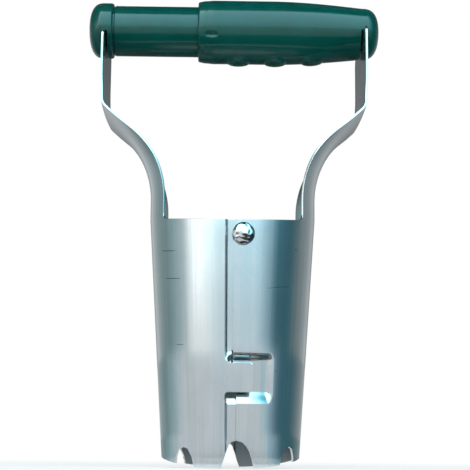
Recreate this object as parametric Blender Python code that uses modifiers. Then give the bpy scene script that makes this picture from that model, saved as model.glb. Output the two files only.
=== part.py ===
"""Seedling transplanter: a bulb planter whose tapered tube opens when its handle is squeezed.

Two like sheet stampings, one turned half a turn, make the tube. Each carries an arm that rises to
the handle. They overlap at a front and a rear seam and turn on a rivet near the top of each seam.
The handle is a sleeve that slides in a wider grip, against a coil spring between the two arms.
Metres, +Z up, the front faces -Y, the origin is on the ground on the tube's axis.
"""
import math

import bpy
import bmesh
from mathutils import Matrix, Vector

# Sheet and tube
SHEET = 0.0010
TUBE_TOP_RADIUS = 0.0402
TUBE_BOTTOM_RADIUS = 0.0324
RIM_HEIGHT = 0.1188
TOOTH_SIDE_HEIGHT = 0.00476
EDGE_DROP = 0.178
EDGE_DROP_ROUND = 0.006

# Seam: angles are azimuths from the front, towards the half that lies outside
FLANGE_GAP = 0.0004
JOGGLE_START = math.radians(-5.6)
JOGGLE_END = math.radians(-3.6)
FLANGE_END = math.radians(13.0)
FREE_EDGE = math.radians(0.6)
FREE_EDGE_LOW = math.radians(3.4)
FLANGE_FOOT = 0.0126

# Tongue of one half, over the pocket that is pressed into the other
TONGUE_TOP = 0.0475
TONGUE_FOOT = 0.0341
TONGUE_END = math.radians(16.2)
TONGUE_CORNER = 0.0016
RELIEF_AZIMUTH = math.radians(-0.5)
RELIEF_DROP = 0.0012
RELIEF_RADIUS = 0.0020
RELIEF_TOP = 0.0530
SLOT_FOOT = 0.0287
POCKET_TOP = 0.0523
POCKET_FOOT = 0.0283
POCKET_END = math.radians(33.0)
POCKET_DEPTH = 0.0026
POCKET_WALL = 0.0042
POCKET_FOOT_WALL = 0.0066
POCKET_WALL_ANGLE = math.radians(5.0)

# Teeth: each notch as its two feet and its crown, azimuth and height
SEAM_NOTCH = ((-11.0, -0.004), (-8.6, 0.0002), (-6.5, 0.0032), (-4.4, 0.0072), (-2.4, 0.0103),
              (0.4, 0.0119), (4.0, 0.0123), (8.3, 0.0117), (11.9, 0.0101), (14.8, 0.0074),
              (16.9, 0.0040), (18.6, 0.0002), (20.4, -0.004))
NOTCH_APEX = 6
FLANK_NOTCH_A = ((-53.4, -0.004), (-50.6, 0.0050), (-47.2, 0.0084), (-42.0, 0.0095),
                 (-37.2, 0.0086), (-33.4, 0.0050), (-29.8, -0.004))
FLANK_NOTCH_B = ((41.8, -0.004), (44.8, 0.0050), (48.8, 0.0088), (54.0, 0.0099),
                 (58.8, 0.0090), (62.2, 0.0056), (64.8, -0.004))

# Spacing of the bend lines scored across the flat blank
SCORE_ROUND = 0.0058
SCORE_TUBE = 0.0160
SCORE_ARM = 0.0045
SCORE_TIGHT = 0.0011

# Arm: a strip that rises from the rim, bows outwards and stands upright in the handle
ARM_WIDTH = 0.0480
ARM_FOOT_FILLET = 0.0026
ARM_STRAIGHT = 0.0094
ARM_LEAN = math.radians(43.5)
ARM_LOW_BEND = 0.0450
ARM_TOP_BEND = 0.0070
ARM_FLATTENING = 0.052
ARM_LEFT_CURVE = 0.07
ARM_CORNER = 0.0050
ARM_TOP_A = 0.0062
ARM_TOP_B = 0.0018

# Rivets
RIVET_AZIMUTH = math.radians(6.6)
RIVET_HEIGHT = RIM_HEIGHT - 0.0127
RIVET_SHANK = 0.0025
RIVET_HEAD = 0.0053
RIVET_DOME = 0.0028
RIVET_BUTTON = 0.0044
RIVET_BUTTON_HEIGHT = 0.0014

# Handle
HANDLE_HEIGHT = 0.2155
HANDLE_HALF_LENGTH = 0.0725
ARM_SPAN = HANDLE_HALF_LENGTH - 0.0085
COLLAR_RADIUS = 0.0138
COLLAR_SHOULDER = -HANDLE_HALF_LENGTH + 0.0122
COLLAR_DOME = 0.0077
DOME_SQUARENESS = 2.7
SLEEVE_RADIUS = 0.0125
SLEEVE_BORE = 0.0108
SLEEVE_END = 0.0180
GRIP_MOUTH = -0.0180
GRIP_MOUTH_RADIUS = 0.0150
GRIP_BELLY_RADIUS = 0.0158
GRIP_TAIL_RADIUS = 0.0128
GRIP_TAIL = HANDLE_HALF_LENGTH - 0.0085
BELLY_START = 0.0180
BELLY_END = -0.0100
LIP_LENGTH = 0.0033
GRIP_STEP = 0.0385
GRIP_NARROW_BORE = 0.0092
GROOVE = 0.0005
EDGE_BREAK = 0.0006
END_SLOT = 0.0024
SLOT_TOP_A = 0.0047
SLOT_TOP_B = 0.0003
NUB_PLACES = (0.0022, 0.0206, 0.0392)
NUB_LENGTH = 0.0108
NUB_WIDTH = 0.0130
NUB_PROUD = 0.0012
DENT_PLACE = -0.0113
DENT_LENGTH = 0.0070
DENT_HEIGHT = 0.0030
DENT_DEPTH = 0.0009
DENT_ANGLE = math.radians(22.0)

# Spring and its two seats
SEAT_THICK = 0.0025
BOSS_RADIUS = 0.0052
BOSS_LENGTH = 0.0060
PEG_RADIUS = 0.0016
PEG_DROP = 0.0066
PEG_DEPTH = 0.0030
PEG_SLIP = 0.0024
WIRE = 0.0014
SPRING_RADIUS = 0.0070
SPRING_TURNS = 22

# Clearances
TOUCH = 0.0003
RUNNING = 0.00035
PEG_PLAY = 0.00045

# How far cutters reach beyond the work
REACH = 0.0800
LEAVE = 0.0100

COLLECTION = "seedling_transplanter"
RING_STEPS = 40


def clear_scene():
    for item in list(bpy.data.objects):
        bpy.data.objects.remove(item, do_unlink=True)


def collection(name):
    found = bpy.data.collections.new(name)
    bpy.context.scene.collection.children.link(found)
    return found


def material(name, colour, roughness, metallic):
    made = bpy.data.materials.new(name)
    made.use_nodes = True
    shader = made.node_tree.nodes["Principled BSDF"]
    shader.inputs["Base Color"].default_value = (*colour, 1.0)
    shader.inputs["Roughness"].default_value = roughness
    shader.inputs["Metallic"].default_value = metallic
    made.diffuse_color = (*colour, 1.0)
    return made


def place(item, home, finish=None):
    home.objects.link(item)
    if finish:
        item.data.materials.append(finish)
    return item


def cutter(item, home):
    home.objects.link(item)
    item.hide_render = True
    item.display_type = "WIRE"
    return item


def boolean(item, tool, operation="DIFFERENCE"):
    step = item.modifiers.new(operation.title(), "BOOLEAN")
    step.operation = operation
    step.solver = "EXACT"
    step.object = tool


def applied(item, name):
    """The item's evaluated mesh, as a new mesh."""
    bpy.context.view_layer.update()
    depsgraph = bpy.context.evaluated_depsgraph_get()
    mesh = bpy.data.meshes.new_from_object(item.evaluated_get(depsgraph))
    mesh.name = name
    return mesh


def smooth_step(value):
    value = min(max(value, 0.0), 1.0)
    return value * value * (3.0 - 2.0 * value)


def rounded(points, radii, steps=4):
    """A closed outline with an arc of the given radius at each corner."""
    outline = []
    count = len(points)
    for index, radius in enumerate(radii):
        here = Vector(points[index])
        back = (Vector(points[index - 1]) - here).normalized()
        ahead = (Vector(points[(index + 1) % count]) - here).normalized()
        if radius <= 0.0:
            outline.append(here)
            continue
        half = back.angle(ahead) / 2.0
        reach = radius / math.tan(half)
        middle = here + (back + ahead).normalized() * radius / math.sin(half)
        start = here + back * reach - middle
        turn = start.angle_signed(here + ahead * reach - middle)
        for step in range(steps + 1):
            arm = start.copy()
            arm.rotate(Matrix.Rotation(-turn * step / steps, 2))
            outline.append(middle + arm)
    return outline


def prism(name, outline, low, high, home, frame=Matrix.Identity(4)):
    """A closed solid: a flat outline in XY raised from low to high along Z."""
    bm = bmesh.new()
    face = bm.faces.new([bm.verts.new((p[0], p[1], low)) for p in outline])
    raised = bmesh.ops.extrude_face_region(bm, geom=[face])["geom"]
    corners = [v for v in raised if isinstance(v, bmesh.types.BMVert)]
    bmesh.ops.translate(bm, verts=corners, vec=(0.0, 0.0, high - low))
    bmesh.ops.recalc_face_normals(bm, faces=bm.faces)
    bm.transform(frame)
    mesh = bpy.data.meshes.new(name)
    bm.to_mesh(mesh)
    bm.free()
    return cutter(bpy.data.objects.new(name, mesh), home)


def round_outline(centre, radius, squeeze=1.0, stretch=0.0, steps=20):
    """A circle in the flat blank, widened by squeeze, or an oblong with stretch."""
    points = []
    for step in range(steps):
        angle = math.tau * (step + 0.5) / steps
        side = math.copysign(stretch, math.cos(angle))
        points.append((centre[0] + (radius * math.cos(angle) + side) * squeeze,
                       centre[1] + radius * math.sin(angle)))
    return points


# The half shell as a flat blank: s runs round the tube, v up the sheet, w through it
MID_RIM = TUBE_TOP_RADIUS - SHEET / 2.0
TAPER = (TUBE_TOP_RADIUS - TUBE_BOTTOM_RADIUS) / RIM_HEIGHT


def tube_radius(height):
    return TUBE_BOTTOM_RADIUS + TAPER * height


def edge_drop(depth):
    return EDGE_DROP * (math.hypot(depth, EDGE_DROP_ROUND) - EDGE_DROP_ROUND)


def flat(azimuth, height, side="A"):
    """Place in the blank of a point on the tube. Side A is the half with the tongue."""
    depth = tube_radius(height) * math.cos(azimuth)
    round_angle = math.pi / 2 + azimuth if side == "A" else azimuth - math.pi / 2
    return round_angle * MID_RIM, height + edge_drop(depth)


def flat_outline(points, side):
    return [flat(math.radians(azimuth), height, side) for azimuth, height in points]


def arm_line():
    """Length of the arm's leaning stretch, and the height where it stands upright again."""
    across = ARM_SPAN - MID_RIM - (ARM_LOW_BEND + ARM_TOP_BEND) * (1 - math.cos(ARM_LEAN))
    lean = across / math.sin(ARM_LEAN)
    top = RIM_HEIGHT + ARM_STRAIGHT + lean * math.cos(ARM_LEAN)
    return lean, top + (ARM_LOW_BEND + ARM_TOP_BEND) * math.sin(ARM_LEAN)


LEAN_LENGTH, UPRIGHT_HEIGHT = arm_line()
LOW_BEND_END = ARM_STRAIGHT + ARM_LOW_BEND * ARM_LEAN
TOP_BEND_START = LOW_BEND_END + LEAN_LENGTH
UPRIGHT_START = TOP_BEND_START + ARM_TOP_BEND * ARM_LEAN


def blank_height(height):
    """Blank place v of a height on the arm's upright stretch."""
    return RIM_HEIGHT + UPRIGHT_START + height - UPRIGHT_HEIGHT


def arm_place(run):
    """Point, lean angle on the arm's middle line at a run along it from the rim."""
    radius, height, lean = MID_RIM, RIM_HEIGHT + min(run, ARM_STRAIGHT), 0.0
    if run > ARM_STRAIGHT:
        lean = min((run - ARM_STRAIGHT) / ARM_LOW_BEND, ARM_LEAN)
        radius += ARM_LOW_BEND * (1 - math.cos(lean))
        height += ARM_LOW_BEND * math.sin(lean)
    if run > LOW_BEND_END:
        straight = min(run, TOP_BEND_START) - LOW_BEND_END
        radius += straight * math.sin(ARM_LEAN)
        height += straight * math.cos(ARM_LEAN)
    if run > TOP_BEND_START:
        lean = ARM_LEAN - min((run - TOP_BEND_START) / ARM_TOP_BEND, ARM_LEAN)
        radius += ARM_TOP_BEND * (math.cos(lean) - math.cos(ARM_LEAN))
        height += ARM_TOP_BEND * (math.sin(ARM_LEAN) - math.sin(lean))
    if run > UPRIGHT_START:
        height += run - UPRIGHT_START
    return radius, height, lean


def arm_curvature(run):
    """Curvature across the strip: the tube's at the rim, slight above, none in the handle."""
    share = 1.0 - (1.0 - ARM_LEFT_CURVE) * smooth_step((run - ARM_STRAIGHT) / ARM_FLATTENING)
    fade = smooth_step((run - UPRIGHT_START) / (ARM_TOP_BEND * 2.0))
    return max(share * (1.0 - fade), 0.001) / MID_RIM


def inset(azimuth_a, azimuth_b, height):
    """How far the sheet is pressed inwards: the joggled flange and the pocket."""
    step = smooth_step((azimuth_a - JOGGLE_START) / (JOGGLE_END - JOGGLE_START))
    above = smooth_step((height - TONGUE_TOP) / (RELIEF_TOP - TONGUE_TOP))
    below = smooth_step((TONGUE_FOOT - height) / (TONGUE_FOOT - SLOT_FOOT))
    flange = (SHEET + FLANGE_GAP) * step * max(above, below)
    top = (POCKET_TOP - height) / POCKET_WALL
    foot = (height - POCKET_FOOT) / POCKET_FOOT_WALL
    rise = min(max(min(top, foot), 0.0), 1.0)
    side = min(max((POCKET_END - azimuth_b) / POCKET_WALL_ANGLE, 0.0), 1.0)
    pocket = smooth_step(1.0 - math.hypot(1.0 - rise, 1.0 - side))
    return flange + POCKET_DEPTH * pocket


def bend(point):
    """Carries a point of the flat blank to its place on the left half of the tool."""
    s, v, w = point
    angle = s / MID_RIM
    run = v - RIM_HEIGHT
    if run <= 0.0:
        height = v
        for _ in range(3):
            height = v - edge_drop(tube_radius(height) * math.sin(angle))
        height = max(height, 0.0)
        radius = tube_radius(height) - SHEET / 2.0 + w
        radius -= inset(angle - math.pi / 2, angle + math.pi / 2, height)
        return Vector((-radius * math.cos(angle), -radius * math.sin(angle), height))
    radius, height, lean = arm_place(run)
    curve = arm_curvature(run)
    across = math.sin(curve * s) * (1.0 / curve + w)
    outward = w * math.cos(curve * s) - (1.0 - math.cos(curve * s)) / curve
    sink = edge_drop(across) * (1.0 - smooth_step(run / (ARM_STRAIGHT * 3.0)))
    return Vector((-(radius + outward * math.cos(lean)),
                   -across,
                   height - outward * math.sin(lean) - sink))


def lines(low, high, gap):
    count = max(1, round((high - low) / gap))
    return [low + (high - low) * step / count for step in range(1, count)]


def inside(face, window):
    """Whether a face of the blank lies in a window of low s, high s, low v, high v."""
    middle = face.calc_center_median()
    return window[0] < middle.x < window[1] and window[2] < middle.y < window[3]


def score(bm, axis, places, window=None):
    """Splits the blank's faces at places along an axis, inside a window if one is given."""
    normal = Vector((0.0, 0.0, 0.0))
    normal[axis] = 1.0
    for spot in places:
        faces = [face for face in bm.faces if window is None or inside(face, window)]
        edges = {edge for face in faces for edge in face.edges}
        verts = {vert for face in faces for vert in face.verts}
        bmesh.ops.bisect_plane(bm, geom=list(verts) + list(edges) + faces, dist=1e-7,
                               plane_co=normal * spot, plane_no=normal)


def blank_mesh(low_s, high_s, high_v):
    """The uncut blank, a thin box scored wherever it will be bent."""
    bm = bmesh.new()
    bmesh.ops.create_cube(bm, size=1.0)
    foot = TOOTH_SIDE_HEIGHT
    bmesh.ops.scale(bm, verts=bm.verts, vec=(high_s - low_s, high_v - foot, SHEET))
    bmesh.ops.translate(bm, verts=bm.verts, vec=((low_s + high_s) / 2.0, (high_v + foot) / 2.0, 0.0))
    arm_half = ARM_WIDTH / 2.0
    for start, end in ((low_s, -arm_half), (-arm_half, arm_half), (arm_half, high_s)):
        score(bm, 0, lines(start, end, SCORE_ROUND))
    rim = RIM_HEIGHT
    score(bm, 1, lines(foot, rim, SCORE_TUBE) + [rim])
    start = 0.0
    for end, gap in ((ARM_STRAIGHT, SCORE_ARM), (LOW_BEND_END, SCORE_ARM), (TOP_BEND_START, SCORE_ARM),
                     (UPRIGHT_START, SCORE_TIGHT), (UPRIGHT_START + ARM_TOP_BEND * 2.0, SCORE_ARM)):
        score(bm, 1, lines(rim + start, rim + end, gap) + [rim + end])
        start = end
    joggle = (flat(JOGGLE_START, RIM_HEIGHT)[0], flat(JOGGLE_END, RIM_HEIGHT)[0])
    score(bm, 0, [joggle[0], (joggle[0] + joggle[1]) / 2.0, joggle[1]])
    pocket_s = flat(POCKET_END, POCKET_TOP, "B")[0]
    wall_s = POCKET_WALL_ANGLE * MID_RIM
    low_v = flat(FREE_EDGE, POCKET_FOOT)[1] - 0.0015
    foot_v = flat(FREE_EDGE, POCKET_FOOT)[1] + POCKET_FOOT_WALL
    top_v = flat(FREE_EDGE, POCKET_TOP)[1]
    score(bm, 0, [pocket_s])
    score(bm, 1, [low_v, top_v])
    near_pocket = (low_s, pocket_s, low_v, top_v)
    score(bm, 0, lines(pocket_s - wall_s, pocket_s, SCORE_TIGHT) + [pocket_s - wall_s], near_pocket)
    score(bm, 1, lines(low_v, foot_v, SCORE_TIGHT), near_pocket)
    score(bm, 1, [foot_v, top_v - POCKET_WALL], near_pocket)
    score(bm, 1, lines(top_v - POCKET_WALL, top_v, SCORE_TIGHT), near_pocket)
    mesh = bpy.data.meshes.new("blank")
    bmesh.ops.recalc_face_normals(bm, faces=bm.faces)
    bm.to_mesh(mesh)
    bm.free()
    return mesh


def half_shell_mesh(tools):
    """One stamping: the blank is cut flat, then bent to its shape as the left half."""
    out = LEAVE
    high_s = flat(TONGUE_END, TONGUE_TOP)[0]
    low_s = flat(FREE_EDGE, RIM_HEIGHT, "B")[0]
    top_a = blank_height(HANDLE_HEIGHT - ARM_TOP_A)
    top_b = blank_height(HANDLE_HEIGHT - ARM_TOP_B)
    high_v = top_b + 0.002
    blank = bpy.data.objects.new("blank", blank_mesh(low_s, high_s, high_v))
    cutter(blank, tools)
    arm_half = ARM_WIDTH / 2.0
    rim = RIM_HEIGHT

    def cut(name, outline):
        boolean(blank, prism(name, outline, -SHEET, SHEET, tools))

    arm_outline = [(high_s + out, rim), (arm_half, rim), (arm_half, top_a), (-arm_half, top_b),
                   (-arm_half, rim), (low_s - out, rim), (low_s - out, high_v + out),
                   (high_s + out, high_v + out)]
    cut("arm_outline", rounded(arm_outline, [0, ARM_FOOT_FILLET, ARM_CORNER, ARM_CORNER,
                                             ARM_FOOT_FILLET, 0, 0, 0]))
    peg_v = blank_height(HANDLE_HEIGHT - PEG_DROP)
    cut("peg_hole", round_outline((0.0, peg_v), PEG_RADIUS + PEG_PLAY, 1.0, PEG_SLIP))
    flange_s = flat(FLANGE_END, RIM_HEIGHT)[0]
    flange_foot = flat(FLANGE_END, RELIEF_TOP)[1]
    cut("flange_edge", [(flange_s, flange_foot), (high_s + out, flange_foot),
                        (high_s + out, rim + out), (flange_s, rim + out)])
    relief = flat(RELIEF_AZIMUTH, (RELIEF_TOP + TONGUE_TOP) / 2.0)
    squeeze = MID_RIM / tube_radius(TONGUE_TOP)
    cut("relief_hole", round_outline((relief[0], relief[1] - RELIEF_DROP), RELIEF_RADIUS, squeeze))
    relief_foot = flat(RELIEF_AZIMUTH, TONGUE_TOP)[1]
    tongue_s = high_s
    tongue_top = flat(TONGUE_END, TONGUE_TOP)[1]
    relief_top = flat(RELIEF_AZIMUTH, RELIEF_TOP)[1]
    cut("relief_gap", [(relief[0], relief_foot), (tongue_s - TONGUE_CORNER, tongue_top),
                       (tongue_s - TONGUE_CORNER * 0.3, tongue_top - TONGUE_CORNER * 0.3),
                       (tongue_s, tongue_top - TONGUE_CORNER), (high_s + out, tongue_top - TONGUE_CORNER),
                       (high_s + out, relief_top), (relief[0], relief_top)])
    slot_high = flat(JOGGLE_START, TONGUE_FOOT)[1]
    slot_low = flat(JOGGLE_START, SLOT_FOOT)[1]
    slot_s = flat(JOGGLE_START, TONGUE_FOOT)[0]
    slot_round = (slot_high - slot_low) / 2.0
    tongue_foot = flat(TONGUE_END, TONGUE_FOOT)[1]
    cut("tongue_slot", [(slot_s, slot_low + slot_round * 0.6), (slot_s + slot_round * 0.4, slot_low),
                        (high_s + out, slot_low), (high_s + out, tongue_foot + TONGUE_CORNER),
                        (tongue_s, tongue_foot + TONGUE_CORNER),
                        (tongue_s - TONGUE_CORNER * 0.3, tongue_foot + TONGUE_CORNER * 0.3),
                        (tongue_s - TONGUE_CORNER, tongue_foot),
                        (slot_s + slot_round * 0.4, slot_high), (slot_s, slot_high - slot_round * 0.6)])
    low_flange_s = flat(FLANGE_END, SLOT_FOOT)[0]
    cut("low_flange_edge", [(low_flange_s, -out), (high_s + out, -out), (high_s + out, slot_low + 0.0002),
                            (low_flange_s, slot_low + 0.0002)])
    low_edge_s = flat(FREE_EDGE_LOW, 0.0, "B")[0]
    step_v = flat(FREE_EDGE_LOW, TONGUE_FOOT, "B")[1]
    cut("low_free_edge", [(low_s - out, -out), (low_edge_s, -out), (low_edge_s, step_v),
                          (low_s - out, step_v)])
    foot_v = flat(0.0, FLANGE_FOOT)[1]
    notch_a = flat_outline(SEAM_NOTCH, "A")
    cut("seam_notch_a", notch_a[:NOTCH_APEX + 1]
        + [(notch_a[NOTCH_APEX][0], foot_v), (high_s + out, foot_v), (high_s + out, -out), (notch_a[0][0], -out)])
    notch_b = flat_outline(SEAM_NOTCH, "B")
    cut("seam_notch_b", [(low_s - out, -out), (low_s - out, notch_b[NOTCH_APEX][1])] + notch_b[NOTCH_APEX:]
        + [(notch_b[-1][0], -out)])
    cut("flank_notch_a", flat_outline(FLANK_NOTCH_A, "A"))
    cut("flank_notch_b", flat_outline(FLANK_NOTCH_B, "B"))
    rivet_squeeze = MID_RIM / tube_radius(RIVET_HEIGHT)
    for side in "AB":
        centre = flat(RIVET_AZIMUTH, RIVET_HEIGHT, side)
        cut("rivet_hole_" + side.lower(), round_outline(centre, RIVET_SHANK + TOUCH, rivet_squeeze))

    bm = bmesh.new()
    cut_mesh = applied(blank, "cut_blank")
    bm.from_mesh(cut_mesh)
    bmesh.ops.triangulate(bm, faces=bm.faces)
    for vert in bm.verts:
        vert.co = bend(vert.co)
    bmesh.ops.recalc_face_normals(bm, faces=bm.faces)
    mesh = bpy.data.meshes.new("half_shell")
    bm.to_mesh(mesh)
    bm.free()
    mesh.shade_smooth()
    mesh.set_sharp_from_angle(angle=math.radians(35.0))
    return mesh


def turned(name, profile, steps=RING_STEPS):
    """A turned solid round local Z from a profile of (radius, height), top to bottom outside."""
    mesh = bpy.data.meshes.new(name)
    mesh.from_pydata([(radius, 0.0, height) for radius, height in profile],
                     [(i, i + 1) for i in range(len(profile) - 1)], [])
    item = bpy.data.objects.new(name, mesh)
    spin = item.modifiers.new("Turn", "SCREW")
    spin.steps = steps
    spin.render_steps = steps
    spin.use_merge_vertices = True
    spin.merge_threshold = 0.00001
    return item


def arc(centre, radius, start, end, steps):
    """Points (radius, height) on an arc, angles in degrees from the radial direction."""
    points = []
    for step in range(steps + 1):
        angle = math.radians(start + (end - start) * step / steps)
        points.append((centre[0] + radius * math.cos(angle), centre[1] + radius * math.sin(angle)))
    return points


def ellipse_cap(radius, base, tip, steps, squareness=2.0):
    """A domed end from the axis at tip to the full radius at base, squarer above 2."""
    points = []
    power = 2.0 / squareness
    for step in range(steps):
        angle = math.radians(90.0 * (1.0 - step / steps))
        points.append((radius * math.cos(angle) ** power, base + (tip - base) * math.sin(angle) ** power))
    return points + [(radius, base)]


def along_x(item):
    """Lays a turned piece along the handle: its local Z becomes world X."""
    item.location = (0.0, 0.0, HANDLE_HEIGHT)
    item.rotation_euler = (0.0, math.pi / 2.0, 0.0)
    return item


def end_slot(name, centre, front_top, rear_top, home):
    """The slot that an arm stands in, cut from below right through from front to back."""
    half = END_SLOT / 2.0
    width = COLLAR_RADIUS * 2.2
    slope = math.atan2(front_top - rear_top, ARM_WIDTH)
    top = -(front_top + rear_top) / 2.0
    outline = [(-half, -REACH), (half, -REACH), (half, top - half * 0.5), (half * 0.6, top),
               (-half * 0.6, top), (-half, top - half * 0.5)]
    frame = (Matrix.Translation((centre, 0.0, HANDLE_HEIGHT))
             @ Matrix.Rotation(slope, 4, "X") @ Matrix.Rotation(math.pi / 2.0, 4, "X"))
    return prism(name, outline, -width, width, home, frame)


def peg_bore(name, start, end, home):
    bore = PEG_RADIUS + TOUCH
    item = along_x(turned(name, [(0.0, end), (bore, end), (bore, start), (0.0, start)], 16))
    item.location.z = HANDLE_HEIGHT - PEG_DROP
    return cutter(item, home)


def inner_sleeve(home, tools, finish):
    """Narrow sleeve with the domed collar, bored from its right end to the arm's slot."""
    left = -HANDLE_HALF_LENGTH
    wall = -ARM_SPAN - END_SLOT / 2.0
    body = SLEEVE_RADIUS
    profile = [(0.0, wall), (SLEEVE_BORE, wall), (SLEEVE_BORE, SLEEVE_END),
               (body - EDGE_BREAK, SLEEVE_END), (body, SLEEVE_END - EDGE_BREAK),
               (body, COLLAR_SHOULDER + GROOVE * 2.0), (body - GROOVE, COLLAR_SHOULDER + GROOVE)]
    corner = EDGE_BREAK * 2.0
    shoulder = arc((COLLAR_RADIUS - corner, COLLAR_SHOULDER - corner), corner, 90.0, 0.0, 4)
    dome = ellipse_cap(COLLAR_RADIUS, left + COLLAR_DOME, left, 10, DOME_SQUARENESS)
    profile += [(body - GROOVE, COLLAR_SHOULDER)] + shoulder + list(reversed(dome))
    item = along_x(turned("inner_handle_sleeve", profile))
    place(item, home, finish)
    boolean(item, end_slot("sleeve_slot", -ARM_SPAN, SLOT_TOP_A, SLOT_TOP_B, tools))
    boolean(item, peg_bore("sleeve_peg_bore", wall - PEG_DEPTH - PEG_PLAY, wall + 0.001, tools))
    return item


def grip_radius(spot):
    """Outer radius of the grip between its tail and its belly."""
    share = min(max((GRIP_TAIL - spot) / (GRIP_TAIL - BELLY_START), 0.0), 1.0)
    return GRIP_TAIL_RADIUS + (GRIP_BELLY_RADIUS - GRIP_TAIL_RADIUS) * math.sin(share * math.pi / 2.0)


def grip_outer():
    """Outer line of the grip from its right tip to its mouth: dome, tail, belly, lip."""
    points = ellipse_cap(GRIP_TAIL_RADIUS, GRIP_TAIL, HANDLE_HALF_LENGTH, 9, DOME_SQUARENESS)
    steps = 10
    for step in range(1, steps + 1):
        spot = GRIP_TAIL + (BELLY_START - GRIP_TAIL) * step / steps
        points.append((grip_radius(spot), spot))
    points.append((GRIP_BELLY_RADIUS, BELLY_END))
    points.append((GRIP_BELLY_RADIUS - EDGE_BREAK / 2.0, GRIP_MOUTH + LIP_LENGTH))
    corner = EDGE_BREAK * 1.6
    points += arc((GRIP_MOUTH_RADIUS - corner, GRIP_MOUTH + corner), corner, 0.0, -90.0, 4)
    return points


def outer_grip(home, tools, finish):
    bore = SLEEVE_RADIUS + RUNNING
    wall = ARM_SPAN + END_SLOT / 2.0
    profile = grip_outer()
    profile += [(bore + EDGE_BREAK, GRIP_MOUTH), (bore, GRIP_MOUTH + EDGE_BREAK), (bore, GRIP_STEP),
                (GRIP_NARROW_BORE, GRIP_STEP), (GRIP_NARROW_BORE, wall), (0.0, wall)]
    item = along_x(turned("outer_grip_sleeve", profile, 48))
    place(item, home, finish)
    for number, spot in enumerate(NUB_PLACES):
        boolean(item, nub("finger_nub_%d" % (number + 1), spot, tools), "UNION")
    boolean(item, thumb_dent(tools))
    boolean(item, end_slot("grip_slot", ARM_SPAN, SLOT_TOP_B, SLOT_TOP_A, tools))
    boolean(item, peg_bore("grip_peg_bore", wall - 0.001, wall + PEG_DEPTH + PEG_PLAY, tools))
    return item


def blob(name, size, centre, home):
    """An ellipsoid cutter of the given full sizes."""
    bm = bmesh.new()
    bmesh.ops.create_uvsphere(bm, u_segments=20, v_segments=10, radius=0.5)
    bmesh.ops.scale(bm, verts=bm.verts, vec=size)
    mesh = bpy.data.meshes.new(name)
    bm.to_mesh(mesh)
    bm.free()
    item = bpy.data.objects.new(name, mesh)
    item.location = centre
    return cutter(item, home)


def nub(name, spot, home):
    """A finger nub: a flattened blob half sunk in the grip's underside."""
    radius = grip_radius(spot)
    depth = (NUB_PROUD + EDGE_BREAK) * 2.0
    centre = (spot, 0.0, HANDLE_HEIGHT - radius - NUB_PROUD + depth / 2.0)
    return blob(name, (NUB_LENGTH, NUB_WIDTH, depth), centre, home)


def thumb_dent(home):
    """A shallow lens pressed into the grip's front, a little below its middle."""
    reach = GRIP_BELLY_RADIUS
    centre = (DENT_PLACE, -reach * math.cos(DENT_ANGLE), HANDLE_HEIGHT - reach * math.sin(DENT_ANGLE))
    item = blob("thumb_dent", (DENT_LENGTH, DENT_DEPTH * 2.0, DENT_HEIGHT), centre, home)
    item.rotation_euler = (DENT_ANGLE, 0.0, 0.0)
    return item


def spring_seat(name, side, radius, home, tools, finish):
    """A plug in the handle's bore: disc, boss inside the spring, peg through the arm."""
    face = ARM_SPAN - END_SLOT / 2.0
    disc = face - SEAT_THICK
    tip = disc - BOSS_LENGTH
    profile = [(0.0, face), (radius, face), (radius, disc), (BOSS_RADIUS, disc),
               (BOSS_RADIUS, tip + EDGE_BREAK), (BOSS_RADIUS - EDGE_BREAK, tip), (0.0, tip)]
    item = turned(name, profile, 28)
    item.location = (0.0, 0.0, HANDLE_HEIGHT)
    item.rotation_euler = (0.0, side * math.pi / 2.0, 0.0)
    place(item, home, finish)
    end = face + END_SLOT + PEG_DEPTH
    peg = turned(name + "_peg", [(0.0, end), (PEG_RADIUS - EDGE_BREAK, end), (PEG_RADIUS, end - EDGE_BREAK),
                                 (PEG_RADIUS, face - TOUCH), (0.0, face - TOUCH)], 16)
    peg.location = (0.0, 0.0, HANDLE_HEIGHT - PEG_DROP)
    peg.rotation_euler = (0.0, side * math.pi / 2.0, 0.0)
    boolean(item, cutter(peg, tools), "UNION")
    return item


def return_spring(home, finish):
    """Compression coil between the two seats, its end turns closed."""
    half = ARM_SPAN - END_SLOT / 2.0 - SEAT_THICK - TOUCH - WIRE / 2.0
    per_turn = 10
    count = SPRING_TURNS * per_turn
    dead = WIRE * 1.25
    points = []
    for index in range(count + 1):
        turn = index / per_turn
        live = min(max(turn - 1.0, 0.0), SPRING_TURNS - 2.0) / (SPRING_TURNS - 2.0)
        ends = min(turn, 1.0) + max(turn - SPRING_TURNS + 1.0, 0.0)
        along = -half + ends * dead + live * (2.0 * half - 2.0 * dead)
        points.append((along, SPRING_RADIUS * math.cos(math.tau * turn),
                       HANDLE_HEIGHT + SPRING_RADIUS * math.sin(math.tau * turn)))
    curve = bpy.data.curves.new("return_spring", "CURVE")
    curve.dimensions = "3D"
    curve.bevel_depth = WIRE / 2.0
    curve.bevel_resolution = 1
    curve.use_fill_caps = True
    line = curve.splines.new("POLY")
    line.points.add(len(points) - 1)
    for spot, point in zip(line.points, points):
        spot.co = (*point, 1.0)
    return place(bpy.data.objects.new("return_spring", curve), home, finish)


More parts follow.
